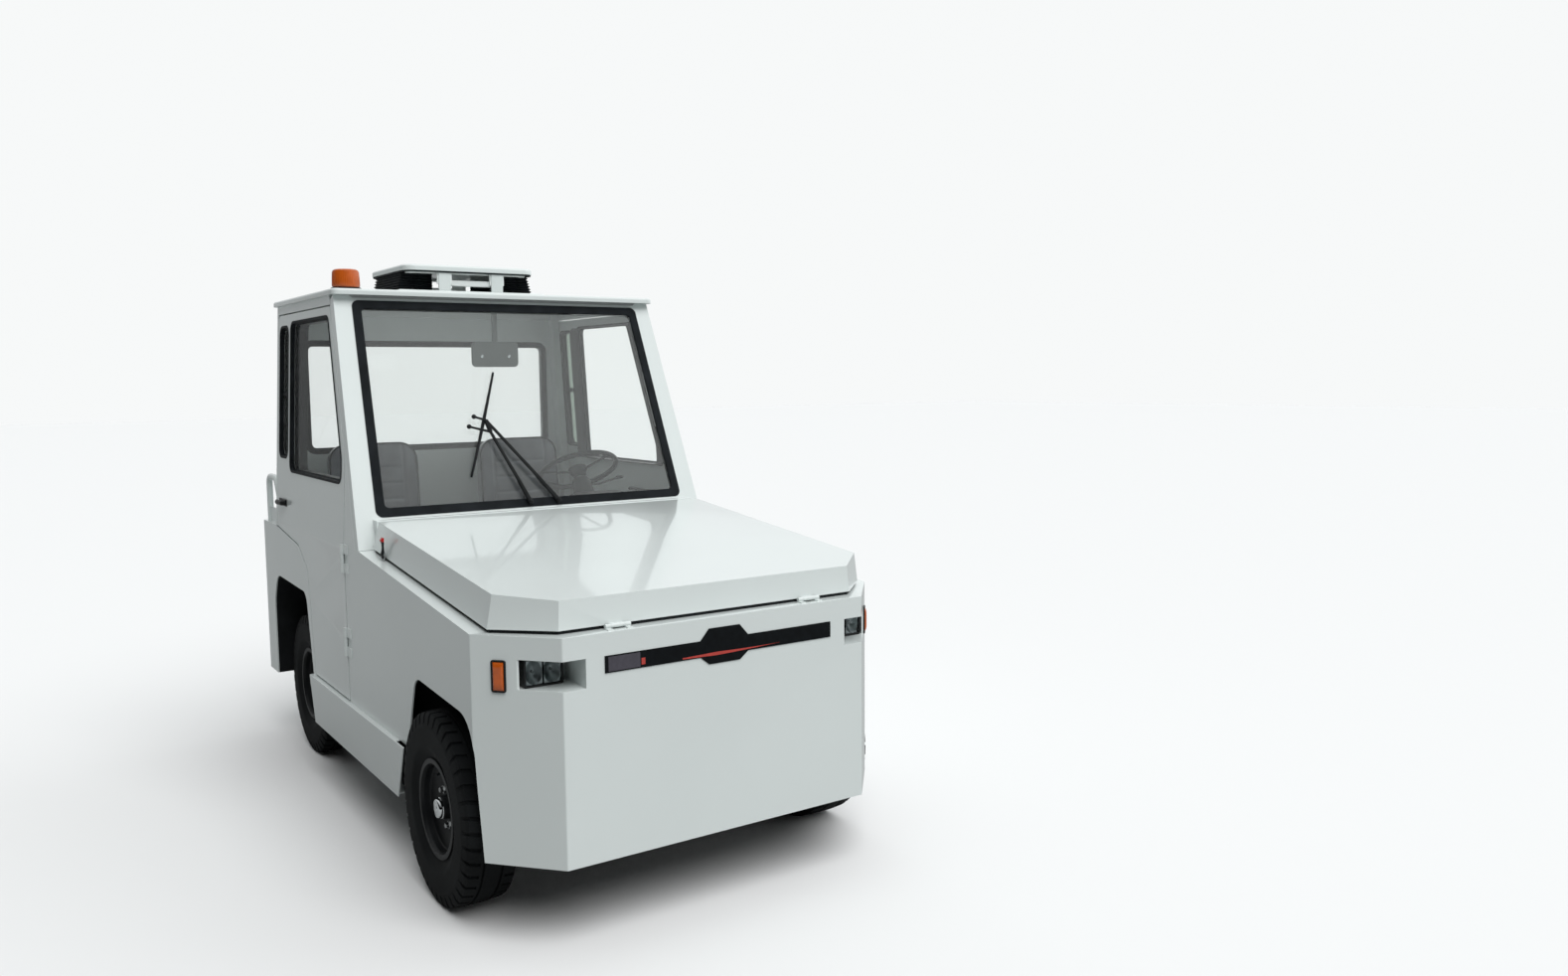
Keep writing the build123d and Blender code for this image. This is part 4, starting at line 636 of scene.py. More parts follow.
def tyre(centre, outward):
    """Points = section turned about the axle, moved inwards along the section's own normal by the
    tread's depth in the grooves (a band of distances from the middle) and in the slots (rows marked as
    cut, over the shoulders only). Two low rings are added to each wall."""
    half = tyre_section()
    section = np.concatenate((half, half[-2::-1] * (-1, 1)))
    tangent = np.gradient(section, axis=0)
    normal = np.stack((tangent[:, 1], -tangent[:, 0]), axis=1)
    normal /= np.linalg.norm(normal, axis=1, keepdims=True)
    normal *= np.sign((normal * (section - (0, 0.25))).sum(axis=1, keepdims=True))
    distance, radius = np.abs(section[:, 0]), section[:, 1]
    groove = ((distance > GROOVE_IN) & (distance < GROOVE_OUT)).astype(float)
    shoulder = np.clip((distance - 0.0455) / 0.001, 0, 1) * np.clip((radius - 0.296) / 0.014, 0, 1)
    wall_rings = WALL_RING_HEIGHT * sum(bell(radius - at, width) for at, width in WALL_RINGS)
    wall_rings[distance < 0.08] = 0
    share, cut = np.array(SLOT_ROWS).T
    pitch = np.arange(TREAD_PITCHES)[:, None]
    angle = ((pitch + share[None, :]) / TREAD_PITCHES).reshape(-1) * 2 * np.pi
    cut = np.tile(cut, TREAD_PITCHES)
    depth = TREAD_DEPTH * np.maximum(groove[None, :], shoulder[None, :] * cut[:, None])
    depth = depth - wall_rings[None, :]
    across = section[None, :, 0] - depth * normal[None, :, 0]
    turn_radius = section[None, :, 1] - depth * normal[None, :, 1]
    slant = SLOT_SLANT * np.clip(section[None, :, 0] / CROWN_HALF, -1, 1) / TREAD_PITCHES * 2 * np.pi
    turn = angle[:, None] + slant
    points = np.stack((
        centre[0] + turn_radius * np.cos(turn),
        centre[1] + outward * across,
        centre[2] + turn_radius * np.sin(turn),
    ), axis=-1)
    return points, grid_faces(len(angle), len(section), wrap_rows=True, wrap_columns=True)


WHEELS = {}
for corner_name in ("front_left", "front_right", "rear_left", "rear_right"):
    low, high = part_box("tyre_" + corner_name)
    centre = (low + high) / 2
    WHEELS[corner_name] = (np.array(centre), 1 if centre.y > 0 else -1)
    lay("tread_" + corner_name, *tyre(centre, WHEELS[corner_name][1]), "tyre",
        body_of_node["tyre_" + corner_name], replaces=["tyre_" + corner_name], crease=28)
print("tyres:", len(WHEELS), "with", TREAD_PITCHES, "pitches each")

# %% [markdown]
# ## Wheels
# Each wheel is a rolled rim with a pressed disc, eight nuts and a hub with a bright cap. It is a turned
# shape, so one profile carried round the axle gives it all; the profile follows the plain wheel of the
# construction model, with the rolled edges and the lock ring added. The nuts are one small shape,
# repeated on a circle.

# %% Wheels
RIM_PROFILE = [        # distance outwards from the wheel's middle, radius, corner radius
    (-0.082, 0.154, 0.001), (-0.082, 0.1745, 0.003), (-0.0765, 0.1735, 0.002), (-0.0765, 0.1598, 0.004),
    (0.0745, 0.1598, 0.003), (0.0755, 0.1690, 0.0015), (0.0785, 0.1745, 0.0025), (0.0820, 0.1735, 0.002),
    (0.0820, 0.1560, 0.002), (0.0700, 0.1520, 0.003), (0.0470, 0.1510, 0.008), (0.0340, 0.0880, 0.014),
    (0.0340, 0.0480, 0.003), (0.0300, 0.0440, 0.002), (0.0300, 0.0420, 0.002), (0.0640, 0.0395, 0.003),
    (0.0640, 0.0250, 0.001), (-0.0400, 0.0250, 0.001), (-0.0400, 0.0620, 0.003), (0.0260, 0.0620, 0.003),
    (0.0280, 0.0860, 0.010), (0.0390, 0.1480, 0.006),
]
DISC_FACE = 0.034      # of the wheel's disc, outwards from the wheel's middle
NUT_CIRCLE = 0.0665
NUT_COUNT = 8
CAP_PROFILE = [        # the bright hub cap
    (0.0600, 0.0), (0.0600, 0.0370), (0.0650, 0.0370), (0.0665, 0.0345), (0.0760, 0.0335),
    (0.0788, 0.0315), (0.0800, 0.0285), (0.0800, 0.0120), (0.0812, 0.0105), (0.0816, 0.0),
]
VALVE_PROFILE = [(0, 0), (0, 0.006), (0.012, 0.0045), (0.028, 0.004), (0.029, 0.003), (0.029, 0)]
rim_corners = [(x, r, 0) for x, r, bend in RIM_PROFILE]
rim_path = rounded(rim_corners, [bend for x, r, bend in RIM_PROFILE], steps=3)[:, :2]
rim_path = np.concatenate((rim_path, rim_path[:1]))
nut_turns = np.linspace(0, 2 * np.pi, NUT_COUNT, endpoint=False)
nut_ring = NUT_CIRCLE * np.stack((np.cos(nut_turns), 0 * nut_turns, np.sin(nut_turns)), axis=1)
for corner_name, (centre, outward) in WHEELS.items():
    body = body_of_node["wheel_" + corner_name]
    direction = (0, outward, 0)
    rim = turned(rim_path, centre, direction, 96)
    nuts = repeated(bolt(0.0105, 0.016), centre + nut_ring + (0, outward * DISC_FACE, 0), direction)
    cap = turned(CAP_PROFILE, centre, direction, 48)
    valve_foot = centre + np.array((0.0, outward * 0.046, 0.128))
    valve = turned(VALVE_PROFILE, valve_foot, (0, outward, -0.35), 14)
    lay("rim_" + corner_name, *rim, "black_paint", body, replaces=["wheel_" + corner_name], crease=40)
    lay("wheel_nuts_" + corner_name, *nuts, "steel", body)
    lay("hub_cap_" + corner_name, *cap, "steel", body, material=chrome)
    lay("valve_" + corner_name, *valve, "black_rubber", body)
print("wheels: rim, nuts, cap and valve on", len(WHEELS), "hubs")

# %% [markdown]
# ## Lamps
# A lamp is a housing, a bright reflector and a clear or coloured lens with ribs that spread the
# light. The lens and the reflector are blocks with one worked face: a flat base and a height over it
# that is a function of the two lengths. A crown, a bowl and a row of ribs are all such functions.

# %% Worked faces


def relief(origin, u_axis, v_axis, us, vs, top, base=0.0):
    """A block with a flat base and a worked top. Point = origin + u * u_axis + v * v_axis + h * normal,
    where h is the base's height or top(u, v), and the normal is u_axis x v_axis."""
    origin, u_axis, v_axis = (np.asarray(a, float) for a in (origin, u_axis, v_axis))
    normal = np.cross(u_axis, v_axis)
    u, v = np.meshgrid(us, vs, indexing="ij")
    plane = origin + u[..., None] * u_axis + v[..., None] * v_axis
    upper = plane + np.broadcast_to(top(u, v), u.shape)[..., None] * normal
    rows, columns = u.shape
    quads = grid_faces(rows, columns)
    index = np.arange(rows * columns).reshape(rows, columns)
    ring = np.concatenate((index[0], index[1:, -1], index[-1, -2::-1], index[-2:0:-1, 0]))
    after = np.roll(ring, -1)
    size = rows * columns
    walls = np.stack((ring, ring + size, after + size, after), axis=1)
    points = np.concatenate((upper.reshape(-1, 3), (plane + base * normal).reshape(-1, 3)))
    return points, [tuple(f) for f in np.concatenate((quads, quads[:, ::-1] + size, walls))]


def crown(u, v, half_u, half_v, height, power=6):
    """A low crown: height times (1 - |u / half_u| ** power) times the same for v, never below zero."""
    across = np.clip(1 - np.abs(u / half_u) ** power, 0, 1)
    along = np.clip(1 - np.abs(v / half_v) ** power, 0, 1)
    return height * across * along


def ribs(u, pitch, depth):
    """Rounded ribs: depth times the absolute sine of the length over the pitch."""
    return depth * np.abs(np.sin(np.pi * u / pitch))


plain = relief(ORIGIN, AHEAD, LEFT, [0, 1], [0, 1], lambda u, v: 0 * u + 1)
print("a relief of 2 x 2 points has", len(plain[1]), "faces")

# %% [markdown]
# ### Headlamps
# Each headlamp sits deep in its recess: a black tray, two bright bowls behind a clear lens, and a small
# bulb in the middle of each bowl. The bowls are parabolas over a rectangle, as pressed reflectors are.

# %% Headlamps
low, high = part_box("headlamps")
LAMP_FACE = high.x
LAMP_IN, LAMP_OUT = 0.540, 0.674
LAMP_LOW, LAMP_HIGH = low.z, high.z
LAMP_MIDDLE = (LAMP_LOW + LAMP_HIGH) / 2
BEZEL = 0.007
BOWL_DEPTH = 0.026
TRAY_DEPTH = 0.046
TRAY_SECTION = [       # across the edge, outwards: over the bezel and down on its inner side
    (0, -TRAY_DEPTH), (0, -0.001), (-0.001, 0), (-BEZEL + 0.001, 0), (-BEZEL, -0.001),
    (-BEZEL, -TRAY_DEPTH),
]
BULB_PROFILE = [
    (0, 0), (0, 0.006), (0.010, 0.0065), (0.014, 0.005), (0.022, 0.0045), (0.025, 0.0025), (0.026, 0),
]
lamp_middle_y, lamp_wide = (LAMP_IN + LAMP_OUT) / 2, (LAMP_OUT - LAMP_IN) / 2
lamp_half = (LAMP_HIGH - LAMP_LOW) / 2 - BEZEL
bowl_half = (LAMP_OUT - LAMP_IN - 2 * BEZEL - 0.006) / 4
bowl_middles = [LAMP_IN + BEZEL + bowl_half, LAMP_OUT - BEZEL - bowl_half]


def bowl(middle):
    """A bowl: depth falls with the square of the distance from the middle, and ends in a flat rim."""
    steps = np.linspace(-1, 1, 25)

    def depth(u, v):
        far = (u / bowl_half) ** 2 + (v / lamp_half) ** 2
        return -BOWL_DEPTH * np.clip(1 - far, 0, 1) - 0.004

    return relief((LAMP_FACE - 0.004, middle, LAMP_MIDDLE), LEFT, UP, steps * bowl_half, steps * lamp_half,
                  depth, base=-0.034)


tray_line = round_rectangle((LAMP_FACE, lamp_middle_y, LAMP_MIDDLE), (0, lamp_wide, 0),
                            (0, 0, lamp_half + BEZEL), 0.006, 4)
tray = strip(tray_line, AHEAD, TRAY_SECTION)
tray_back = box_shape((LAMP_FACE - TRAY_DEPTH, LAMP_IN + 0.001, LAMP_LOW + 0.001),
                      (LAMP_FACE - 0.040, LAMP_OUT - 0.001, LAMP_HIGH - 0.001))
divider = box_shape((LAMP_FACE - 0.040, bowl_middles[0] + bowl_half, LAMP_LOW + BEZEL),
                    (LAMP_FACE - 0.006, bowl_middles[1] - bowl_half, LAMP_HIGH - BEZEL), 0.001)
lens = relief(
    (LAMP_FACE - 0.003, lamp_middle_y, LAMP_MIDDLE), LEFT, UP,
    np.linspace(-1, 1, 30) * (lamp_wide - BEZEL), np.linspace(-1, 1, 20) * lamp_half,
    lambda u, v: 0.0005 + crown(u, v, 0.062, lamp_half * 1.02, 0.0025), base=-0.003,
)
bowls = joined(*[bowl(middle) for middle in bowl_middles])
bulbs = joined(*[turned(BULB_PROFILE, (LAMP_FACE - 0.034, middle, LAMP_MIDDLE), AHEAD, 20)
                 for middle in bowl_middles])
lay("headlamp_trays", *mirrored(joined(tray, tray_back, divider)), "black_plastic", "chassis",
    replaces=["headlamps"])
lay("headlamp_bowls", *mirrored(bowls), "lamp_glass", "chassis", material=reflector)
lay("headlamp_bulbs", *mirrored(bulbs), "lamp_glass", "chassis", material=bulb_glass)
lay("headlamp_lenses", *mirrored(lens), "lamp_glass", "chassis", material=lamp_lens)
print("headlamps: bowls at y =", [round(m, 3) for m in bowl_middles])

# %% [markdown]
# ### Markers, tail lamps and beacon
# The amber markers stand on the nose's chamfers. The tail lamps have three sectors with upright ribs, and
# the beacon is a fluted amber dome on a black foot. The dome is turned, and a wave of many small
# ripples in its radius makes the flutes.

# %% Marker lamps
CHAMFER_TURN = math.atan2(0.208, 0.241)                # the nose's side turns in by this angle
CHAMFER_START = (1.409, 0.8)                           # where it begins to do so
marker_along = np.array((math.cos(CHAMFER_TURN), -math.sin(CHAMFER_TURN), 0))
marker_out = np.array((math.sin(CHAMFER_TURN), math.cos(CHAMFER_TURN), 0))
low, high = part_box("marker_lamps")
marker_foot = np.array(((low.x + high.x) / 2, 0, (low.z + high.z) / 2)) - 0.006 * marker_out
marker_foot[1] = CHAMFER_START[1] - (marker_foot[0] - CHAMFER_START[0]) * math.tan(CHAMFER_TURN)
MARKER_HALF, MARKER_TALL = 0.0215, 0.048
MARKER_SECTION = [
    (0, 0.0003), (0, 0.005), (-0.001, 0.006), (-0.003, 0.006), (-0.004, 0.005), (-0.004, 0.0003),
]


def marker_face(u, v):
    """A cushion with ribs across it. It is counted against the block's normal, so it is negative."""
    return -0.004 - crown(u, v, MARKER_HALF - 0.0028, MARKER_TALL - 0.0028, 0.007) - ribs(v, 0.006, 0.0008)


fine = np.linspace(-1, 1, 33)
marker_lens = relief(marker_foot, marker_along, UP, fine * (MARKER_HALF - 0.003),
                     fine * (MARKER_TALL - 0.003), marker_face, base=-0.0035)
marker_line = round_rectangle(marker_foot, MARKER_HALF * marker_along, (0, 0, MARKER_TALL), 0.004, 4)
marker_ring = strip(marker_line, marker_out, MARKER_SECTION)
marker_back = relief(marker_foot, marker_along, UP, (-MARKER_HALF + 0.002, MARKER_HALF - 0.002),
                     (-MARKER_TALL + 0.002, MARKER_TALL - 0.002), lambda u, v: 0 * u - 0.0034,
                     base=-0.0003)
lay("marker_lenses", *mirrored(marker_lens), "amber_plastic", "chassis", replaces=["marker_lamps"])
lay("marker_frames", *mirrored(joined(marker_ring, marker_back)), "black_plastic", "chassis")
print("marker at", marker_foot.round(3))

# %% Tail lamps
low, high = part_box("tail_lamps")
TAIL_OUT, TAIL_Z = high.y, (low.z + high.z) / 2
TAIL_WIDE, TAIL_TALL = 0.230, high.z - low.z
TAIL_SECTORS = [       # from the outer end: width, finish
    (0.070, "amber_plastic"), (0.100, "red_plastic"), (0.060, "lamp_glass"),
]
tail_tray = box_shape((high.x - 0.024, TAIL_OUT - TAIL_WIDE, TAIL_Z - TAIL_TALL / 2),
                      (high.x - 0.0003, TAIL_OUT, TAIL_Z + TAIL_TALL / 2), 0.003)
lay("tail_lamp_trays", *mirrored(tail_tray), "black_plastic", "chassis", replaces=["tail_lamps"])
edge = TAIL_OUT
for width, slot in TAIL_SECTORS:
    middle = edge - width / 2
    half = width / 2 - 0.0025
    sector = relief(
        (high.x - 0.0235, middle, TAIL_Z), LEFT, (0, 0, -1), np.linspace(-half, half, 41),
        np.linspace(-1, 1, 25) * (TAIL_TALL / 2 - 0.005),
        lambda u, v: (0.0006 + crown(u, v, half * 1.01, TAIL_TALL / 2 - 0.0045, 0.0052, 8)
                      + ribs(u, 0.005, 0.0006)),
    )
    lay("tail_sector_" + slot, *mirrored(sector), slot, "chassis")
    edge -= width
print("tail lamps:", len(TAIL_SECTORS), "sectors each")

# %% Beacon
low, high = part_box("beacon")
BEACON_PLACE = ((low.x + high.x) / 2, (low.y + high.y) / 2, low.z)
BEACON_DOME = [        # height over the roof, radius
    (0.012, 0), (0.012, 0.0545), (0.016, 0.0565), (0.020, 0.0575), (0.050, 0.0565), (0.078, 0.0550),
    (0.086, 0.0520), (0.0905, 0.0450), (0.0918, 0.0300), (0.0920, 0),
]
BEACON_FOOT = [
    (0.0003, 0), (0.0003, 0.0625), (0.003, 0.0640), (0.009, 0.0640), (0.0125, 0.0600), (0.0130, 0.0560),
    (0.0130, 0),
]
FLUTES, FLUTE_DEPTH = 48, 0.0006


def flutes(angle, height, radius):
    """The wave in the dome's radius, from just over its foot to the bend at its top."""
    return FLUTE_DEPTH * np.cos(FLUTES * angle) * ((height > 0.018) & (height < 0.084))


beacon_dome = turned(BEACON_DOME, BEACON_PLACE, UP, 4 * FLUTES, flutes)
beacon_foot = turned(BEACON_FOOT, BEACON_PLACE, UP, 96)
lay("beacon_dome", *beacon_dome, "amber_plastic", "chassis", replaces=["beacon"])
lay("beacon_foot", *beacon_foot, "black_rubber", "chassis")
print("beacon at", np.round(BEACON_PLACE, 3))

# %% [markdown]
# ## Windows in the doors
# Each door pane is held in black rubber that lines the depth of the cut-out. A bevelled frame could be
# modelled corner by corner, but a section carried round the window's rounded outline gives the flange,
# the lining and the lip on the glass in one go, inside and outside. Behind the large pane a deep black
# lining runs on into the cab. The small quarter pane has a dark olive film on its inner side, which is
# painted shade: it darkens what is seen through that pane.

# %% Window rubbers
BELT_Z, EAVES_Z = 1.134, 2.175
BODY_HALF, EAVES_LEAN = 0.800, 0.053
SIDE_TILT = EAVES_LEAN / (EAVES_Z - BELT_Z)
side_normal = np.array((0.0, 1.0, SIDE_TILT)) / math.hypot(1.0, SIDE_TILT)
DOOR_WINDOW = [(-0.082, 1.390), (-0.082, 1.490), (-0.316, 2.085), (-0.975, 2.085), (-0.975, 1.390)]
QUARTER_WINDOW = [(-1.030, 1.450), (-1.030, 2.070), (-1.190, 2.070), (-1.190, 1.450)]
WINDOW_BEND = 0.040
OUTER_RUBBER = [       # across the edge, outwards from the skin
    (0.009, 0.0001), (0.009, 0.0016), (0.0075, 0.0028), (0.0005, 0.0028), (-0.0025, 0.0012),
    (-0.0035, -0.0120), (-0.0090, -0.0145), (-0.0090, -0.0157), (-0.0004, -0.0157), (-0.0004, 0.0001),
]
INNER_RUBBER = [
    (-0.0004, -0.0223), (-0.0090, -0.0223), (-0.0090, -0.0235), (-0.0035, -0.0260), (-0.0025, -0.0402),
    (0.0005, -0.0418), (0.0070, -0.0418), (0.0080, -0.0406), (0.0080, -0.0401), (-0.0004, -0.0401),
]


def on_side(x, z):
    """A point on the cab's left skin, which is upright to the belt and leans in above it."""
    return np.array((x, BODY_HALF - max(z - BELT_Z, 0) * SIDE_TILT, z))


def wound(path, normal):
    """The path in the sense that turns left about a normal, so that a strip's sideways offset points out
    of the loop: its area vector, half the sum of the cross products of neighbours, follows the normal."""
    area = np.cross(path, np.roll(path, -1, 0)).sum(axis=0)
    return path if area @ np.asarray(normal, float) > 0 else path[::-1]


def window_path(corners, bend):
    """A window's rounded outline on the left skin."""
    return wound(rounded([on_side(x, z) for x, z in corners], [bend] * len(corners), 8), side_normal)


def lay_pair(name, shape, slot, node, replaces=False, **looks):
    """A shape of the left side and its twin on the right. Each rides with the piece of its own side,
    whose name starts with node, and may replace it."""
    points, faces = shape
    for side_name, sign in (("left", 1), ("right", -1)):
        lay(name + side_name, points * (1, sign, 1), faces, slot, body_of_node[node + side_name],
            replaces=[node + side_name] if replaces else (), **looks)


rubbers = [strip(window_path(corners, WINDOW_BEND), side_normal, section)
           for corners in (DOOR_WINDOW, QUARTER_WINDOW) for section in (OUTER_RUBBER, INNER_RUBBER)]
BAR_Z = 1.750          # a bar of rubber halves the quarter pane
BAR_SECTION = [(-0.011, -0.0155), (-0.008, -0.010), (0.008, -0.010), (0.011, -0.0155)]
bar = strip([on_side(-1.031, BAR_Z), on_side(-1.189, BAR_Z)], side_normal, BAR_SECTION, closed=False)
window_rubbers = joined(*rubbers, bar)
REVEAL = [             # the deep black lining behind the door's large pane
    (-0.0006, -0.0420), (-0.0006, -0.0780), (-0.0026, -0.0800), (-0.0046, -0.0780), (-0.0040, -0.0420),
]
FILM_WINDOW = [(-1.0395, 1.4595), (-1.0395, 2.0605), (-1.1805, 2.0605), (-1.1805, 1.4595)]
FILM_DEPTHS = (0.0225, 0.0229)         # from the skin to the film's two faces
film_line = window_path(FILM_WINDOW, 0.031)
film_points = np.concatenate([film_line - depth * side_normal for depth in FILM_DEPTHS])
film = (film_points, capped(2, len(film_line)))
reveal = strip(window_path(DOOR_WINDOW, WINDOW_BEND), side_normal, REVEAL)
lay_pair("window_reveal_", reveal, "black_plastic", "door_")
# painted shade: a dark olive film on the inner side of each quarter pane
lay_pair("quarter_film_", film, "glass", "door_", material=painted_shade_film, smooth=False)
lay_pair("window_rubbers_", window_rubbers, "black_rubber", "door_")
print("window rubbers:", len(window_rubbers[1]), "faces a door")

# %% [markdown]
# ## Door handles
# The outer handle is a black moulded lever on an escutcheon, with a lock barrel under its root. The lever
# is a round tube along a bent path, set to the handle's own reach; the escutcheon is a worked face with
# a low crown.

# %% Door handles
low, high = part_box("door_handle_left")
handle_mid = (low + high) / 2
handle_skin = low.y
LEVER_RADIUS = 0.0120
LOCK_PROFILE = [(0.0, 0), (0.0, 0.0085), (0.006, 0.0085), (0.007, 0.0078), (0.007, 0)]
escutcheon = relief(
    (handle_mid.x, handle_skin, handle_mid.z), (-1, 0, 0), UP, np.linspace(-0.074, 0.074, 31),
    np.linspace(-0.0165, 0.0165, 15), lambda u, v: 0.0015 + crown(u, v, 0.0742, 0.0167, 0.0045, 8),
    base=0.0003,
)
lever_path = rounded([
    (high.x - 0.018, handle_skin + 0.004, handle_mid.z),
    (high.x - 0.020, handle_skin + 0.0225, handle_mid.z),
    (low.x + 0.030, handle_skin + 0.0235, handle_mid.z - 0.001),
    (low.x + 0.008, handle_skin + 0.0165, handle_mid.z - 0.002),
], [0, 0.010, 0.020, 0], 6, closed=False)
lever_points, lever_faces = tube(lever_path, LEVER_RADIUS, 14)
lever_reach = (high.y - handle_skin - 0.0045) / (0.0195 + LEVER_RADIUS)
lever_points[:, 1] = handle_skin + 0.004 + (lever_points[:, 1] - handle_skin - 0.004) * lever_reach
lock = turned(LOCK_PROFILE, (low.x + 0.018, handle_skin + 0.0045, handle_mid.z), LEFT, 24)
slot_cut = box_shape((low.x + 0.0172, handle_skin + 0.0112, handle_mid.z - 0.004),
                     (low.x + 0.0188, handle_skin + 0.0119, handle_mid.z + 0.004), 0.0002)
lever = joined(escutcheon, (lever_points, lever_faces))
lay_pair("handle_lever_", lever, "black_plastic", "door_handle_", replaces=True)
lay_pair("handle_lock_", joined(lock, slot_cut), "steel", "door_handle_")
print("door handles at height", round(handle_mid.z, 3))

# %% [markdown]
# ## Hood latches
# Two rubber draw latches hold the hood down at its rear corners: a strap with a waist, a thick grip that
# ends in a red tip, and a steel anchor with four rivets. The strap is a stack of half-round sections.
# They bulge by two rounded humps on the way up, and narrow by a third one at the waist.

# %% Hood latches
low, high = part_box("hood_latches")
latch_mid_x = (low.x + high.x) / 2
latch_in = 0.7553
latch_rise = np.linspace(0, 1, 40)     # share of the way from the strap's foot to its tip
latch_bulge = 0.004 + 0.0075 * bell(latch_rise - 0.86, 0.09) + 0.005 * bell(latch_rise - 0.22, 0.12)
latch_half = 0.017 - 0.005 * bell(latch_rise - 0.55, 0.18)
latch_foot_z, latch_top_z = low.z + 0.004, high.z
RED_FROM = 0.80


def strap(start, end, rows=24, columns=13):
    """A stretch of the strap: a rounded section, wide and bulged by the humps, from foot to tip."""
    share = np.linspace(start, end, rows)
    bulge = np.interp(share, latch_rise, latch_bulge)
    half = np.interp(share, latch_rise, latch_half)
    height = latch_foot_z + share * (latch_top_z - latch_foot_z)
    angle = np.linspace(0, np.pi, columns)
    outer = np.stack((
        latch_mid_x + half[:, None] * np.cos(angle),
        latch_in + 0.0005 + bulge[:, None] * np.sin(angle) ** 0.6,
        height[:, None] + 0 * angle,
    ), axis=-1)
    return outer.reshape(-1, 3), capped(rows, columns)


RIVET = [(0, 0), (0, 0.0035), (0.0012, 0.0030), (0.0020, 0.0015), (0.0022, 0)]
anchor = box_shape((latch_mid_x - 0.021, latch_in - 0.001, low.z),
                   (latch_mid_x + 0.021, latch_in + 0.003, low.z + 0.030), 0.0008)
rivet_places = [(latch_mid_x + side * 0.0188, latch_in + 0.003, low.z + rise)
                for side in (-1, 1) for rise in (0.008, 0.022)]
rivets = repeated(turned(RIVET, ORIGIN, UP, 12), rivet_places, LEFT)
latch_body = body_of_node["hood_latches"]
lay("latch_straps", *mirrored(strap(0, RED_FROM)), "black_rubber", latch_body, replaces=["hood_latches"])
lay("latch_tips", *mirrored(strap(RED_FROM + 0.002, 1)), "red_plastic", latch_body)
lay("latch_anchors", *mirrored(joined(anchor, rivets)), "steel", latch_body)
print("latch tips reach", round(latch_top_z, 3))

# %% [markdown]
# ## Wiper
# A pantograph wiper: two parallel arms turn on two spindles and carry one blade, which stays at its own
# angle. Each arm is a tapered channel with its spring under it and a washer nozzle beside its tip. They
# lie in the plane of the glass, so everything is placed by a distance across, a distance up the slope
# and a distance out of it.

# %% Wiper
SHIELD_FOOT = np.array((0.137, 0.0, 1.256))
SHIELD_RAKE = math.radians(22.1)
shield_up = np.array((-math.sin(SHIELD_RAKE), 0.0, math.cos(SHIELD_RAKE)))
shield_out = np.array((math.cos(SHIELD_RAKE), 0.0, math.sin(SHIELD_RAKE)))
WIPER_ARMS = [         # spindle and tip, each as a distance across and a distance up the slope
    ((0.085, 0.020), (-0.186, 0.400)), ((-0.046, 0.020), (-0.174, 0.345)),
]
WIPER_NOZZLES = [(-0.237, 0.417), (-0.266, 0.372)]
BLADE_LOW, BLADE_HIGH = np.array((-0.289, 0.148)), np.array((-0.107, 0.630))
SPINDLE = [(0, 0), (0, 0.011), (0.014, 0.0105), (0.020, 0.0095), (0.0225, 0.006), (0.0235, 0)]
NOZZLE = [(0, 0), (0, 0.0105), (0.0050, 0.0100), (0.0066, 0.0060), (0.0070, 0)]
COIL_TURNS, COIL_RADIUS = 16, 0.0028


def on_shield(across, up, out):
    """A point over the windshield, from its distances across, up the slope and out of it."""
    return SHIELD_FOOT + across * np.array((0.0, 1.0, 0.0)) + up * shield_up + out * shield_out


def shield_bar(start, end, widths, lows, highs):
    """A straight tapered bar over the windshield with a hexagonal section: widths, lower and upper
    distances are given at its two ends, and the edges of its top are chamfered."""
    start, end = np.asarray(start, float), np.asarray(end, float)
    along = (end - start) / np.linalg.norm(end - start)
    beside = np.array((-along[1], along[0]))
    rings = []
    for place, width, low_out, high_out in zip((start, end), widths, lows, highs):
        edge = min(0.3 * width, 0.4 * (high_out - low_out))
        half = width / 2
        left_side = [(-half, low_out), (-half, high_out - edge), (-half + edge, high_out)]
        for shift, out in left_side + [(-shift, out) for shift, out in left_side[::-1]]:
            across, up = place + beside * shift
            rings.append(on_shield(across, up, out))
    return np.array(rings), capped(2, 6)


def spring(pivot, tip):
    """A coil under the first third of an arm: a helix round the line from its spindle to its tip."""
    turns = np.linspace(0, 2 * np.pi * COIL_TURNS, COIL_TURNS * 10)
    run = pivot + (tip - pivot) * np.linspace(0.08, 0.30, len(turns))[:, None]
    beside = np.array((-(tip - pivot)[1], (tip - pivot)[0])) / np.linalg.norm(tip - pivot)
    coil = [on_shield(*(place + beside * COIL_RADIUS * math.cos(turn)),
                      0.0125 + COIL_RADIUS * math.sin(turn)) for place, turn in zip(run, turns)]
    return tube(coil, 0.0007, 6)


def on_blade(share):
    """A point of the blade's line, from its lower end (0) to its upper end (1)."""
    return BLADE_LOW * (1 - share) + BLADE_HIGH * share


print("blade from", on_blade(0.0), "to", on_blade(1.0))

# %% Arms, springs and blade
bars, springs = [], []
for (pivot, tip), nozzle in zip(WIPER_ARMS, WIPER_NOZZLES):
    pivot, tip = np.array(pivot), np.array(tip)
    elbow = pivot + (tip - pivot) * 0.30
    root, overlap = pivot - (tip - pivot) * 0.03, elbow - (tip - pivot) * 0.02
    bars.append(shield_bar(root, elbow, (0.021, 0.018), (0.011, 0.016), (0.022, 0.028)))
    bars.append(shield_bar(overlap, tip, (0.016, 0.013), (0.020, 0.021), (0.0265, 0.0265)))
    bars.append(turned(SPINDLE, on_shield(*pivot, 0.0045), shield_out, 28))
    bars.append(turned(NOZZLE, on_shield(*nozzle, 0.0213), shield_out, 24))
    bars.append(shield_bar(tip, nozzle, (0.011, 0.009), (0.0215, 0.0215), (0.0265, 0.0265)))
    springs.append(spring(pivot, tip))
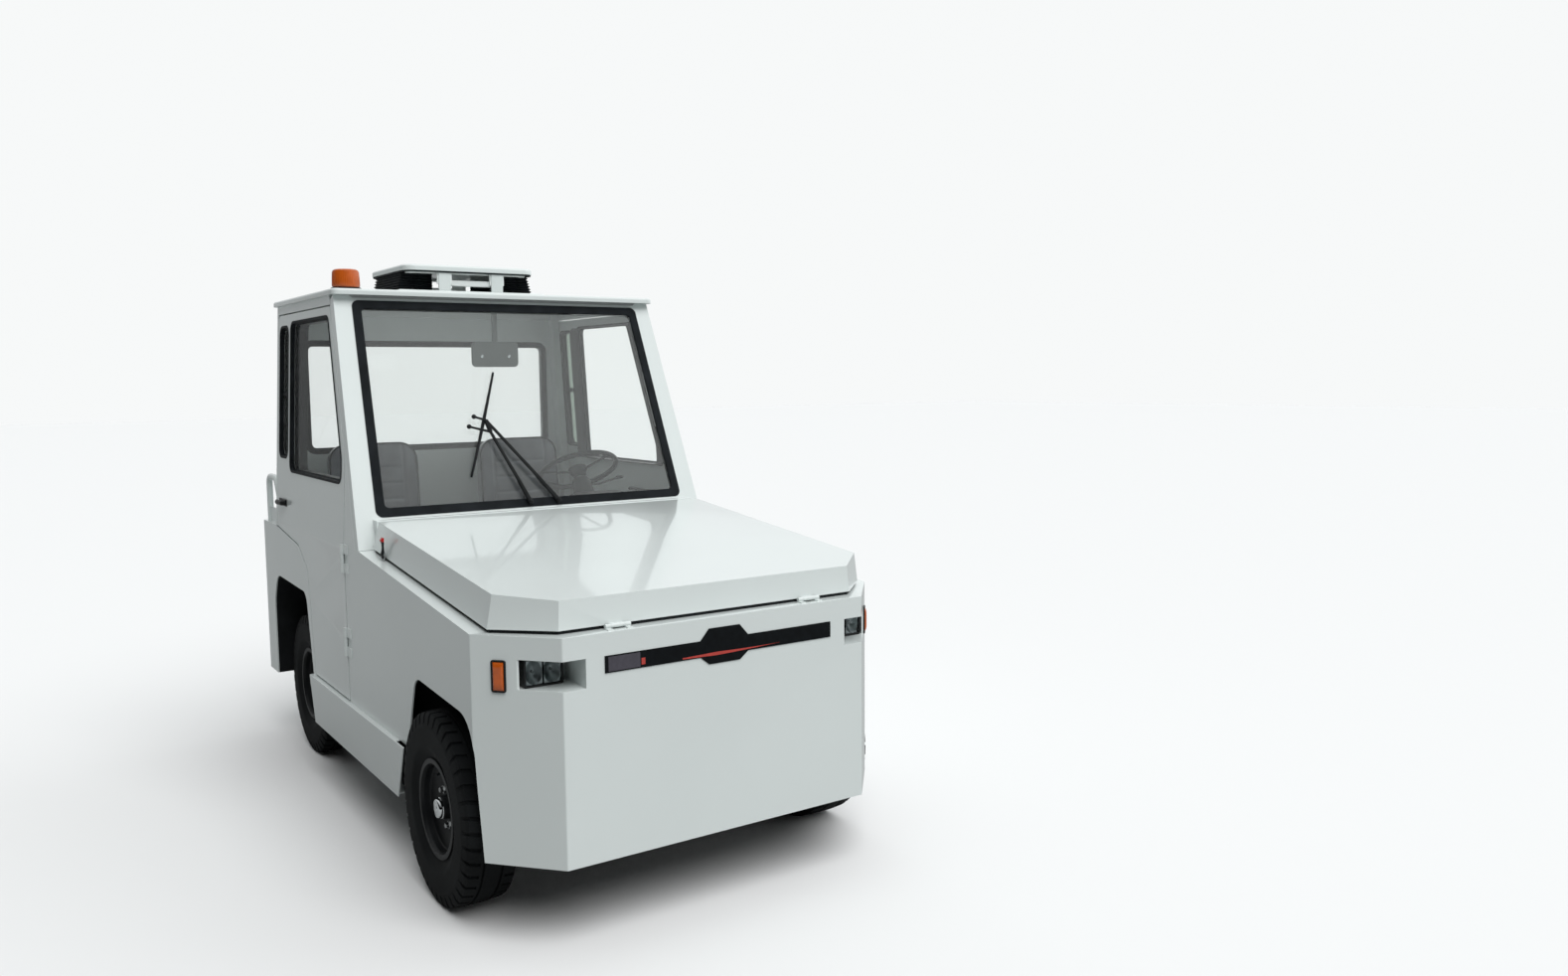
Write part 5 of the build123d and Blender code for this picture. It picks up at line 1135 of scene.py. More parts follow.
bars.append(shield_bar(WIPER_ARMS[0][1], WIPER_ARMS[1][1], (0.019,) * 2, (0.0205,) * 2, (0.0285,) * 2))
for foot in (0.06, 0.94):
    bars.append(shield_bar(on_blade(foot), on_blade(0.5), (0.009, 0.015), (0.0105, 0.0145),
                           (0.0155, 0.0215)))
for share in (0.03, 0.25, 0.50, 0.75, 0.97):
    bars.append(shield_bar(on_blade(share - 0.012), on_blade(share + 0.012), (0.010,) * 2, (0.0065,) * 2,
                           (0.0135,) * 2))
wiping_edge = shield_bar(BLADE_LOW, BLADE_HIGH, (0.0090,) * 2, (0.0060,) * 2, (0.0100,) * 2)
lay("wiper_arms", *joined(*bars), "black_plastic", body_of_node["wiper"], replaces=["wiper"])
lay("wiper_springs", *joined(*springs), "steel", body_of_node["wiper"])
lay("wiper_edge", *wiping_edge, "black_rubber", body_of_node["wiper"])
print("wiper blade:", round(float(np.linalg.norm(BLADE_HIGH - BLADE_LOW)), 3), "m long")

# %% [markdown]
# ## Front band
# The black band on the nose carries a thin red line along its lower edge, which swells before the middle
# of the plate and tapers to both ends, and a short red bar with a plum-grey panel beside it at one end.
# They are decals a fraction of a millimetre thick, so each is a flat strip between two curves.

# %% Front band decals
low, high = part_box("front_band")
BAND_FACE = high.x
BAND_HALF = high.y
BAND_LOW, BAND_HIGH = 0.877, 0.933
plum_grey = finish("plum_grey", (0.045, 0.040, 0.055), 0.25, coat=0.8, spread=0.1, spread_scale=50)


def decal(ys, lower, upper, thick=0.0004):
    """A flat strip on the band: two rows of points, lower(y) and upper(y), and the same again set back."""
    ys = np.asarray(ys, float)
    rings = []
    for out, rows in ((thick, (lower, upper)), (0.0, (upper, lower))):
        for row in rows:
            rings.append(np.stack((np.full_like(ys, BAND_FACE + out), ys, row(ys)), axis=1))
    points = np.stack(rings, axis=1)
    return points.reshape(-1, 3), capped(len(ys), 4)


def level(height):
    """A straight edge that stays at one height."""
    return lambda y: np.full_like(y, height)


def red_middle(y):
    """The red line's middle: just over the band's lower edge, with a slight rise to its far end."""
    return BAND_LOW + 0.0068 + 0.004 * np.clip(y / 0.225, 0, 1) ** 2


def red_half(y):
    """Half the red line's width: widest before the plate's middle, and tapered to both ends."""
    return 0.0058 * np.clip(1 - np.abs(y + 0.03) / 0.26, 0.08, 1) ** 1.2


line_y = np.linspace(-0.165, 0.225, 104)
red_swoosh = decal(line_y, lambda y: red_middle(y) - red_half(y), lambda y: red_middle(y) + red_half(y))
red_bar = decal((-0.318, -0.304), level(BAND_LOW + 0.010), level(BAND_LOW + 0.032))
plum_end = decal((-BAND_HALF + 0.012, -0.322), level(BAND_LOW + 0.004), level(BAND_HIGH - 0.004))
lay("band_red_line", *joined(red_swoosh, red_bar), "red_plastic", "chassis", material=red_line)
lay("band_plum_end", *plum_end, "black_band", "chassis", material=plum_grey)
print("band from", -BAND_HALF, "to", BAND_HALF)

# %% [markdown]
# ## Roof hatch
# The raised hatch stands on rubber bellows at its two sides, which turn the corners as short flaps, and
# its pale lid has a pressed inner frame with brackets that the lift arms push. The bellows are closed
# loops of points whose distance from the middle zigzags with height, which is just how a folded rubber
# skirt is shaped.

# %% Roof hatch
low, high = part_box("hatch_bellows")
FOLDS = 7
bellows_mid_x = (low.x + high.x) / 2
bellows_half_x = (high.x - low.x) / 2
BELLOWS_IN, BELLOWS_FOOT, BELLOWS_TOP = 0.256, high.y, high.y - 0.024
fold_share = np.linspace(0, 1, 2 * FOLDS + 1)
fold_inward = 0.008 * (np.arange(2 * FOLDS + 1) % 2)
folds = list(zip(fold_share, fold_inward, low.z + fold_share * (high.z - low.z)))
bellows_rings = []
for share, inward, z in folds:
    near, far = BELLOWS_IN + inward, BELLOWS_FOOT + (BELLOWS_TOP - BELLOWS_FOOT) * share - inward
    half = bellows_half_x - inward
    corners = [(bellows_mid_x + side * half, y, z)
               for side, y in ((-1, near), (1, near), (1, far), (-1, far))]
    bellows_rings.append(rounded(corners, [0.012] * 4, 4))
bellows = (np.concatenate(bellows_rings), capped(len(bellows_rings), len(bellows_rings[0])))
lay("hatch_folds", *mirrored(bellows), "black_rubber", "chassis", replaces=["hatch_bellows"], crease=25)

FLAP_IN, FLAP_OUT = 0.169, 0.262       # how far the corner flaps stand from the middle
flaps = []
for end in (-1, 1):
    flap_rings = []
    for share, inward, z in folds:
        near = bellows_mid_x + end * (bellows_half_x - 0.016 - inward)
        far = bellows_mid_x + end * (bellows_half_x - 0.004 - inward)
        flap_rings.append([(near, FLAP_IN, z), (far, FLAP_IN, z), (far, FLAP_OUT, z), (near, FLAP_OUT, z)])
    flaps.append((np.array(flap_rings).reshape(-1, 3), capped(len(flap_rings), 4)))
lay("hatch_flaps", *mirrored(joined(*flaps)), "black_rubber", "chassis", crease=25)
print("hatch: bellows of", FOLDS, "folds")

# %% Hatch lid
low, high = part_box("hatch_lid")
LID_LOW = high.z - 0.028
frame_mid_x = (low.x + high.x) / 2


def lid_line(half_x, half_y, gap, bend):
    """A rounded rectangle a small gap under the lid."""
    return round_rectangle((frame_mid_x, 0, LID_LOW - gap), (half_x, 0, 0), (0, half_y, 0), bend)


inner_frame = strip(lid_line(0.235, 0.285, 0.0005, 0.04), (0, 0, -1), bar_section(0.030, 0.0, 0.010, 0.003))
lid_gasket = strip(lid_line(0.272, 0.317, 0.0003, 0.05), (0, 0, -1), bar_section(0.010, 0.0, 0.007, 0.002))
hatch_bars = []
for end in (-1, 1):
    bracket_x, bar_x = frame_mid_x + end * 0.262, frame_mid_x + end * 0.250
    for y in (-0.130, 0.130):
        hatch_bars.append(box_shape((bracket_x - 0.004, y - 0.0365, LID_LOW - 0.060),
                                    (bracket_x + 0.004, y + 0.0365, LID_LOW - 0.0005), 0.0015))
    hatch_bars.append(box_shape((bar_x - 0.006, -0.105, LID_LOW - 0.068),
                                (bar_x + 0.006, 0.105, LID_LOW - 0.040), 0.003))
lay("hatch_inner_frame", *joined(inner_frame, *hatch_bars), "grey_paint", "chassis",
    material=white_plastic)
lay("hatch_gasket", *lid_gasket, "black_rubber", "chassis")
dress("hatch_lid", 0.004, FINISHES["white_paint"])
print("hatch lid's lower face at height", round(LID_LOW, 3))

# %% [markdown]
# ## Interior mirror
# The mirror's back shows through the windshield: a grey moulding with two bright screws. Its reflecting
# plate faces the seats, in a thin rim.

# %% Mirror screws and plate
low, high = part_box("interior_mirror")
mirror_back_x, mirror_face_x = low.x + 0.014, low.x
PLATE_THICK = 0.0015
SCREW = [(0, 0), (0, 0.0075), (0.0015, 0.0070), (0.0030, 0.0045), (0.0033, 0)]
screw_places = [(mirror_back_x, y, 1.918) for y in (-0.066, 0.066)]
screws = repeated(turned(SCREW, ORIGIN, UP, 20), screw_places, AHEAD)
plate_line = round_rectangle((mirror_face_x - 0.0002, 0, 1.927), (0, 0.100, 0), (0, 0, 0.047), 0.016)
plate = (np.concatenate((plate_line, plate_line - (PLATE_THICK, 0, 0))), capped(2, len(plate_line)))
lay("mirror_screws", *screws, "steel", "chassis", material=chrome)
lay("mirror_plate", *plate, "steel", "chassis", material=chrome, smooth=False)
print("mirror plate faces", round(mirror_face_x, 3))

# %% [markdown]
# ## Seats
# Each seat is a squab and a back of vinyl over foam. Their shape is built as rings: a seam ring drawn in
# plan, walls below it and shrinking rings over it, closed by a small cap. A subdivision surface alone
# looks like soap; here the closed form is remeshed and blown up a little by a cloth simulation with its
# seams pinned, which gives the crown, the pull at the corners and the soft wrinkles of stretched vinyl.
# The sewn channels come after it, as grooves along lines.

# %% Padded forms
SQUAB_LONG, SQUAB_HALF = 0.247, 0.226  # half the squab's length and width
BACK_TALL, BACK_HALF = 0.284, 0.213    # half the back's height and width, along its own lean
SQUAB_X, SQUAB_FOOT, SQUAB_SEAM = -0.7165, 0.9315, 1.000
SEAM_RISE, FRONT_ROLL = 0.030, 0.030
BACK_FOOT, BACK_RISE = 0.938, 0.562
BACK_FRONT, BACK_REAR = -0.9705, -1.040
VOXEL = 0.0065
PUFF_LIMIT = 0.024
CLOTH_FRAMES = 18
RING_POINTS = 96


def plan_ring(half_u, half_v, radius, steps=9):
    """A rounded rectangle round the origin, in two lengths."""
    ring = round_rectangle(ORIGIN, (half_u, 0, 0), (0, half_v, 0), radius, steps)[:, :2]
    lengths = np.linalg.norm(np.roll(ring, -1, 0) - ring, axis=1)
    along = np.concatenate(([0], np.cumsum(lengths)))
    even = np.linspace(0, along[-1], RING_POINTS, endpoint=False)
    closed = np.concatenate((ring, ring[:1]))
    return np.stack([np.interp(even, along, closed[:, k]) for k in (0, 1)], axis=1)


def ringed(levels, place):
    """A closed form of rings: each level is (ring in plan, height), and place(u, v, height) puts the
    points of the plan into space. The first and last rings are closed by a cap."""
    rings = [place(ring[:, 0], ring[:, 1], height) for ring, height in levels]
    columns = len(rings[0])
    faces = [tuple(f) for f in grid_faces(len(rings), columns, wrap_columns=True)]
    faces += [tuple(range(columns))[::-1], tuple(range((len(rings) - 1) * columns, len(rings) * columns))]
    return np.concatenate(rings), faces


def squab_place(u, v, height):
    """Squab: u runs forward, v to the left, height from the seat frame (0) to the upper seam (1) and on
    to the crown (2). The upper seam rises forward, and the front edge rolls over."""
    roll = FRONT_ROLL * np.clip((u - 0.17) / 0.077, 0, 1) ** 2
    seam = SQUAB_SEAM + SEAM_RISE * (u + SQUAB_LONG) / (2 * SQUAB_LONG)
    wall = SQUAB_FOOT + (seam - SQUAB_FOOT - roll) * np.minimum(height, 1)
    z = np.where(height <= 1, wall, seam - roll + 0.012 * (height - 1))
    return np.stack((SQUAB_X + u, v, z), axis=1)


def back_bulge(rise):
    """The rounded hump of the back's rear panel, by the share of its height."""
    return np.sin(np.pi * np.clip(rise, 0, 1) ** 0.8 * 0.72)


def back_place(u, v, height):
    """Back: u runs up from the foot, v to the left, height from the rear panel (0) to the front seam (1)
    and on to the front's crown (2). The pad leans back and is hollowed a little for the spine."""
    rise = (u + BACK_TALL) / (2 * BACK_TALL)
    z = BACK_FOOT + BACK_RISE * rise
    seam = BACK_FRONT - 0.040 * rise ** 1.6 - 0.012
    rear = BACK_REAR - 0.040 * back_bulge(rise)
    x = np.where(height <= 1, rear + (seam - rear) * np.minimum(height, 1), seam + 0.009 * (height - 1))
    return np.stack((x, v, z), axis=1)


SEAM_LEVEL = 7         # the place of the seam among the rings of a pad
CROWN_LEVELS = [       # share of the plan, height
    (0.95, 1.45), (0.85, 1.75), (0.60, 1.95), (0.30, 2.0), (0.08, 2.0),
]


def padded_levels(half_u, half_v, radius):
    """Rings of a pad: the lower face, two wall rings, the seam, and shrinking rings over it."""
    full = plan_ring(half_u, half_v, radius)
    rings = [(full * share, 0.0) for share in (0.10, 0.5, 0.86, 0.965)]
    rings += [(full * 0.985, 0.04), (full, 0.30), (full, 0.70), (full * 0.995, 1.0)]
    return rings + [(full * share, height) for share, height in CROWN_LEVELS]


def groove(distance, depth, width):
    """A sewn channel: depth times a bell of the distance from its line."""
    return depth * bell(distance, width)


def inflate(piece, pinned, limit):
    """Blow a pad up with a short cloth simulation: the points that pinned(points) marks stay, and no
    other moves further than the limit."""
    bpy.context.view_layer.objects.active = piece
    remesh = piece.modifiers.new("remesh", "REMESH")
    remesh.mode = "VOXEL"
    remesh.voxel_size = VOXEL
    bpy.ops.object.modifier_apply(modifier=remesh.name)
    start = mesh_points(piece)
    group = piece.vertex_groups.new(name="seams")
    group.add(np.nonzero(pinned(start))[0].tolist(), 1.0, "REPLACE")
    cloth = piece.modifiers.new("cloth", "CLOTH")
    cloth.settings.quality = 4
    cloth.settings.use_pressure = True
    cloth.settings.uniform_pressure_force = 4.0
    cloth.settings.vertex_group_mass = group.name
    cloth.settings.effector_weights.gravity = 0.0
    cloth.collision_settings.use_collision = False
    for step in range(1, CLOTH_FRAMES + 1):
        bpy.context.scene.frame_set(step)
    bpy.ops.object.modifier_apply(modifier=cloth.name)
    bpy.context.scene.frame_set(1)
    moved = mesh_points(piece) - start
    length = np.linalg.norm(moved, axis=1, keepdims=True)
    moved *= np.minimum(1.0, limit / np.maximum(length, 1e-9))
    return start + moved


def mesh_points(piece):
    """The points of a piece's mesh as an array."""
    points = np.empty(len(piece.data.vertices) * 3)
    piece.data.vertices.foreach_get("co", points)
    return points.reshape(-1, 3)


def set_points(piece, points):
    """Put an array of points back into a piece's mesh."""
    piece.data.vertices.foreach_set("co", np.asarray(points, float).ravel())
    piece.data.update()


def normals_of(piece):
    """The normals at the points of a piece's mesh."""
    normals = np.empty(len(piece.data.vertices) * 3)
    piece.data.vertices.foreach_get("normal", normals)
    return normals.reshape(-1, 3)


print("padded forms ready")

# %% Squabs and backs
SEAT_Y = 0.380
squab_levels = padded_levels(SQUAB_LONG, SQUAB_HALF, 0.050)
back_levels = padded_levels(BACK_TALL, BACK_HALF, 0.085)


def squab_sewn(points, normals):
    """Two bolster lines along the squab and four channels across its middle."""
    top = np.clip((normals[:, 2] - 0.35) / 0.3, 0, 1)
    inside = np.clip((0.155 - np.abs(points[:, 1])) / 0.01, 0, 1)
    depth = groove(np.abs(points[:, 1]) - 0.158, 0.0065, 0.006)
    for x in (-0.880, -0.790, -0.700, -0.610):
        depth = np.maximum(depth, inside * groove(points[:, 0] - x, 0.0055, 0.006))
    return points - normals * (depth * top)[:, None]


def back_sewn(points, normals):
    """Two bolster lines up the back and five channels across its middle."""
    front = np.clip((normals[:, 0] - 0.35) / 0.3, 0, 1)
    inside = np.clip((0.140 - np.abs(points[:, 1])) / 0.01, 0, 1)
    depth = groove(np.abs(points[:, 1]) - 0.143, 0.0065, 0.006)
    for z in (1.060, 1.140, 1.220, 1.300, 1.380):
        depth = np.maximum(depth, inside * groove(points[:, 2] - z, 0.0055, 0.006))
    return points - normals * (depth * front)[:, None]


def pad(name, levels, place, pinned, sewn):
    """A finished pad round Y = 0: rings, simulation, channels and one subdivision."""
    piece = lay(name, *ringed(levels, place), "seat_vinyl", "chassis")
    set_points(piece, inflate(piece, pinned, PUFF_LIMIT))
    set_points(piece, sewn(mesh_points(piece), normals_of(piece)))
    finer = piece.modifiers.new("finer", "SUBSURF")
    finer.levels = finer.render_levels = 1
    bpy.context.view_layer.objects.active = piece
    bpy.ops.object.modifier_apply(modifier=finer.name)
    piece.data.shade_smooth()
    return piece


def near_ring(points, ring_points, reach):
    """True where a point lies within reach of any point of a ring."""
    close = np.zeros(len(points), bool)
    for ring_point in ring_points:
        close |= ((points - ring_point) ** 2).sum(axis=1) < reach ** 2
    return close


squab_seam = squab_place(*squab_levels[SEAM_LEVEL][0].T, np.float64(1.0))
back_seam = back_place(*back_levels[SEAM_LEVEL][0].T, np.float64(1.0))


def squab_pinned(points):
    """The squab's lower face and its seam stay where they are."""
    return (points[:, 2] < 0.940) | near_ring(points, squab_seam, 0.007)


def back_pinned(points):
    """The back's rear panel, its foot and its seam stay where they are."""
    rear = points[:, 0] < BACK_REAR - 0.035 * back_bulge((points[:, 2] - BACK_FOOT) / BACK_RISE)
    return rear | (points[:, 2] < 0.945) | near_ring(points, back_seam, 0.007)


print("seams:", len(squab_seam), "and", len(back_seam), "points")

# %% Driver's and passenger's seats
squab = pad("driver_squab", squab_levels, squab_place, squab_pinned, squab_sewn)
back = pad("driver_back", back_levels, back_place, back_pinned, back_sewn)
piping_points, piping_faces = joined(*[
    tube(np.concatenate((seam, seam[:3])) + shift, 0.0045, 8)
    for seam, shift in ((squab_seam, (0, 0, 0.001)), (back_seam, (0.001, 0, 0)))
])
for name, y in (("driver", SEAT_Y), ("passenger", -SEAT_Y)):
    body = body_of_node[name + "_seat"]
    for part_name, original in (("squab", squab), ("back", back)):
        piece = original
        if name == "passenger":
            piece = bpy.data.objects.new("passenger_" + part_name, original.data.copy())
            bpy.context.scene.collection.objects.link(piece)
            set_points(piece, mesh_points(piece) - (0, SEAT_Y, 0))
        set_points(piece, mesh_points(piece) + (0, y, 0))
        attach(piece, body)
        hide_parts(name + "_seat")
    lay(name + "_piping", piping_points + (0, y, 0), piping_faces, "black_rubber", body)
print("squab points:", len(squab.data.vertices), "back points:", len(back.data.vertices))

# %% [markdown]
# ### Seat frames
# Under each seat is the adjusting bar, and beside its back stand two hinge plates with round caps. They
# are small steel parts seen through the glass and from the open doors.

# %% Seat fittings
HINGE_CAP = [(0, 0), (0, 0.016), (0.004, 0.015), (0.007, 0.011), (0.008, 0)]
seat_bits = []
for y in (-SEAT_Y, SEAT_Y):
    for side in (-1, 1):
        plate_y = y + side * 0.222
        seat_bits.append(box_shape((-1.060, plate_y - 0.004, 0.934),
                                   (-0.930, plate_y + 0.004, 1.030), 0.003))
        seat_bits.append(turned(HINGE_CAP, (-1.005, plate_y + side * 0.004, 1.000), (0, side, 0), 24))
    bar_places = [(-0.600, y - 0.150, 0.879), (-0.500, y - 0.150, 0.879), (-0.500, y + 0.150, 0.879),
                  (-0.600, y + 0.150, 0.879)]
    seat_bits.append(tube(rounded(bar_places, [0, 0.03, 0.03, 0], 6, closed=False), 0.005, 10))
lay("seat_fittings", *joined(*seat_bits), "black_paint", "chassis")
print("seat fittings:", len(seat_bits))

# %% [markdown]
# ## Steering wheel and column
# The wheel has a soft black rim with finger waves on its lower side, three pressed spokes and a padded
# hub. The rim is a torus whose small radius carries a wave that depends on both turning angles.

# %% Steering wheel
WHEEL_CENTRE = np.array((-0.280, SEAT_Y, 1.370))
COLUMN_LEAN = math.radians(30)
column_way = np.array((-math.sin(COLUMN_LEAN), 0.0, math.cos(COLUMN_LEAN)))
wheel_ahead = np.array((math.cos(COLUMN_LEAN), 0.0, math.sin(COLUMN_LEAN)))
wheel_left = np.array((0.0, 1.0, 0.0))
RIM_RADIUS, RIM_TUBE = 0.186, 0.0138
RIM_STEPS, TUBE_STEPS = 144, 16
FINGER_DEPTH, FINGERS = 0.0014, 36
SPOKE_TURNS = [math.radians(turn) for turn in (30, 150, 270)]
SPOKE_START, SPOKE_ROWS, SPOKE_COLUMNS = 0.028, 14, 12
HUB_PROFILE = [        # height along the column, radius
    (-0.033, 0.0101), (-0.033, 0.030), (-0.014, 0.040), (0.000, 0.047), (0.010, 0.046), (0.0145, 0.040),
    (0.016, 0.020), (0.0162, 0), (0.006, 0), (0.006, 0.0101),
]
HUB_RING = [(0.0150, 0.030), (0.0168, 0.029), (0.0172, 0.026), (0.0168, 0.023), (0.0150, 0.022)]
wheel_body = body_of_node["steering_wheel"]


def wheel_way(angle):
    """The way across the steering wheel's plane at an angle from straight ahead."""
    return np.cos(angle)[..., None] * wheel_ahead + np.sin(angle)[..., None] * wheel_left


def on_wheel(radius, angle, lift):
    """A point over the wheel's plane, from its radius, its angle and its lift along the column."""
    return WHEEL_CENTRE + radius[..., None] * wheel_way(angle) + lift[..., None] * column_way


def spoke(turn):
    """A spoke: an oval section with a waist, carried from the hub to the rim and lifted towards it."""
    reach = np.linspace(SPOKE_START, RIM_RADIUS - 0.006, SPOKE_ROWS)
    half = 0.013 - 0.004 * np.sin(np.pi * (reach - SPOKE_START) / (RIM_RADIUS - 0.006 - SPOKE_START))
    lift = -0.010 + 0.008 * (reach / RIM_RADIUS) ** 2
    section = np.linspace(0, 2 * np.pi, SPOKE_COLUMNS, endpoint=False)
    across = half[:, None] * np.cos(section)
    rise = lift[:, None] + 0.0045 * np.sin(section)
    ahead, beside = wheel_way(turn), wheel_way(turn + math.pi / 2)
    points = (WHEEL_CENTRE + reach[:, None, None] * ahead + across[..., None] * beside
              + rise[..., None] * column_way)
    return points.reshape(-1, 3), capped(SPOKE_ROWS, SPOKE_COLUMNS)


print("a spoke has", len(spoke(SPOKE_TURNS[0])[1]), "faces")

# %% Rim, hub and spokes in place
round_angle = np.linspace(0, 2 * np.pi, RIM_STEPS, endpoint=False)[:, None]
small_angle = np.linspace(0, 2 * np.pi, TUBE_STEPS, endpoint=False)[None, :]
finger = FINGER_DEPTH * np.cos(FINGERS * round_angle) * np.clip(-np.sin(small_angle), 0, 1)
tube_radius = RIM_TUBE - FINGER_DEPTH + finger
rim_points = on_wheel(RIM_RADIUS + tube_radius * np.cos(small_angle), round_angle,
                      tube_radius * np.sin(small_angle))
wheel_rim = (rim_points, grid_faces(RIM_STEPS, TUBE_STEPS, wrap_rows=True, wrap_columns=True))
hub = turned(HUB_PROFILE, WHEEL_CENTRE, column_way, 64)
hub_ring = turned(HUB_RING, WHEEL_CENTRE, column_way, 48)
lay("wheel_rim", *joined(wheel_rim, hub), "black_plastic", wheel_body, replaces=["steering_wheel"])
lay("wheel_spokes", *joined(*[spoke(turn) for turn in SPOKE_TURNS]), "black_paint", wheel_body)
lay("wheel_hub_ring", *hub_ring, "steel", wheel_body)
print("steering wheel rim:", round(2 * (RIM_RADIUS + RIM_TUBE), 3), "m across")

# %% Column, stalks and boot
SHROUD_PROFILE = [     # height along the column, radius
    (-0.330, 0.0335), (-0.330, 0.050), (-0.310, 0.054), (-0.130, 0.050), (-0.060, 0.044), (-0.048, 0.038),
    (-0.046, 0.0335),
]
BOOT_PROFILE = [
    (-0.470, 0.034), (-0.470, 0.060), (-0.462, 0.066), (-0.455, 0.058), (-0.447, 0.063), (-0.440, 0.054),
    (-0.432, 0.058), (-0.425, 0.048), (-0.418, 0.034),
]
STALKS = [(80, 0.150), (-85, 0.130)]   # turn in degrees, length
STALK_GRIP = [(0, 0), (0, 0.0075), (0.004, 0.009), (0.030, 0.008), (0.034, 0.005), (0.035, 0)]
column_shapes = [turned(SHROUD_PROFILE, WHEEL_CENTRE, column_way, 40)]
for degrees, length in STALKS:
    ahead = wheel_way(math.radians(degrees))
    start = WHEEL_CENTRE - 0.085 * column_way + 0.040 * ahead
    stalk_corners = [start, start + 0.05 * ahead, start + length * ahead + 0.020 * column_way]
    stalk_path = rounded(stalk_corners, [0, 0.03, 0], 6, closed=False)
    column_shapes.append(tube(stalk_path, 0.005, 10))
    column_shapes.append(turned(STALK_GRIP, stalk_path[-1] - 0.012 * ahead, ahead, 20))
lay("column_shroud", *joined(*column_shapes), "black_plastic", "chassis")
lay("column_boot", *turned(BOOT_PROFILE, WHEEL_CENTRE, column_way, 40), "black_rubber", "chassis")
print("column stalks:", len(STALKS))

# %% [markdown]
# ## Dashboard, pedals and floor
# A hooded instrument pod stands on the dashboard before the driver, with two dials and a row of rocker
# switches; plain marks stand in for numbers. Pads on two pedals, a ribbed rubber mat and a soft roof
# lining finish the cab.

# %% Instruments
POD_X, POD_Z = -0.060, 1.212
POD_HALF = 0.150
POD_OUTLINE = [        # distances forward of the pod's place and over it
    (-0.052, 0.0003), (-0.046, 0.050), (-0.036, 0.066), (-0.020, 0.072), (0.030, 0.058), (0.062, 0.012),
    (0.066, 0.0003),
]
pod_rings = []
for side_share in np.linspace(-1, 1, 33):
    tall = 0.35 + 0.65 * (1 - abs(side_share) ** 6) ** 0.35
    pod_rings.append([(POD_X + x, SEAT_Y + side_share * POD_HALF, POD_Z + max(z * tall, 0.0003))
                      for x, z in POD_OUTLINE])
pod = (np.array(pod_rings).reshape(-1, 3), capped(len(pod_rings), len(POD_OUTLINE)))
lay("instrument_pod", *pod, "black_plastic", "chassis")
print("instrument pod:", len(pod_rings), "sections")

# %% Dials
DIAL_RADIUS, DIAL_SHIFT, DIAL_TICKS = 0.026, 0.062, 9
face_way = np.array((-0.986, 0.0, 0.165))
along, across, up = axes_for(face_way)
DIAL_PROFILE = [
    (0.0, 0), (0.0, DIAL_RADIUS), (0.004, DIAL_RADIUS), (0.0045, DIAL_RADIUS - 0.002),
    (0.002, DIAL_RADIUS - 0.003), (0.002, 0),
]
dials, marks, needles = [], [], []
for y in (SEAT_Y + DIAL_SHIFT, SEAT_Y - DIAL_SHIFT):
    centre = np.array((POD_X - 0.0500, y, POD_Z + 0.030))
    dials.append(turned(DIAL_PROFILE, centre, face_way, 48))
    for tick in range(DIAL_TICKS):
        angle = math.radians(-30 + tick * 30)
        way = math.cos(angle) * across + math.sin(angle) * up
        place = centre + 0.0023 * along + (DIAL_RADIUS * 0.74) * way
        marks.append(box_shape(place - (0.0004, 0.0012, 0.0012), place + (0.0004, 0.0012, 0.0012), 0.0002))
    pivot = centre + 0.003 * along
    needles.append(tube([pivot, pivot + DIAL_RADIUS * 0.6 * (0.6 * across + 0.8 * up)], 0.0007, 6))
lay("dial_rims", *joined(*dials), "black_band", "chassis")
lay("dial_marks", *joined(*marks), "white_paint", "chassis", material=white_plastic)
lay("dial_needles", *joined(*needles), "red_plastic", "chassis", material=red_line)
print("dials:", len(dials))

# %% Rocker switches
SWITCH_COUNT, SWITCH_PITCH = 6, 0.036


def rocker(u, v):
    """A switch cap that is hollowed in the middle and rounded off at its edges."""
    edges = (1 - (u / 0.0131) ** 8) * (1 - np.abs(v / 0.0181) ** 8)
    return 0.003 + 0.004 * np.abs(v / 0.018) * edges


switches = [
    relief((-0.0985, 0.120 - column * SWITCH_PITCH, 1.128), (0, -1, 0), UP, np.linspace(-0.013, 0.013, 9),
           np.linspace(-0.018, 0.018, 13), rocker)
    for column in range(SWITCH_COUNT)
]
lay("rocker_switches", *joined(*switches), "black_plastic", "chassis")
print("switches:", len(switches))

# %% Pedals
PEDALS = [             # place to the right of the driver's middle, half width, half height of the pad
    (0.060, 0.035, 0.030), (0.190, 0.026, 0.055),
]
pedals, pads = [], []
for shift, half, tall in PEDALS:
    y = SEAT_Y - shift
    pads.append(relief(
        (-0.045, y, 0.640), (0, -1, 0), (0.5, 0, 0.866), np.linspace(-half, half, 25),
        np.linspace(-tall, tall, 33),
        lambda u, v: 0.008 + 0.0012 * (np.sin(v / 0.0022) > 0) * (np.abs(u) < half - 0.006), base=0.002,
    ))
    pedal_line = rounded([(0.040, y, 0.990), (0.020, y, 0.800), (-0.043, y, 0.640)], [0, 0.08, 0], 8,
                         closed=False)
    pedals.append(tube(pedal_line, 0.007, 10))
lay("pedal_pads", *joined(*pads), "black_rubber", "chassis")
lay("pedal_arms", *joined(*pedals), "black_paint", "chassis")
print("pedals:", len(pads))

# %% Mat and roof lining
MAT_RIB = 0.015        # from one rib of the mat to the next
LINING_Z = 2.1747
mat_x = np.linspace(-0.510, 0.005, 104)
mat_y = np.linspace(-0.735, 0.735, 40)
mat = relief((0, 0, 0.5063), AHEAD, LEFT, mat_x, mat_y,
             lambda u, v: 0.004 + 0.0012 * (np.cos(u * 2 * np.pi / MAT_RIB) > 0))
lay("floor_mat", *mat, "black_rubber", "chassis")

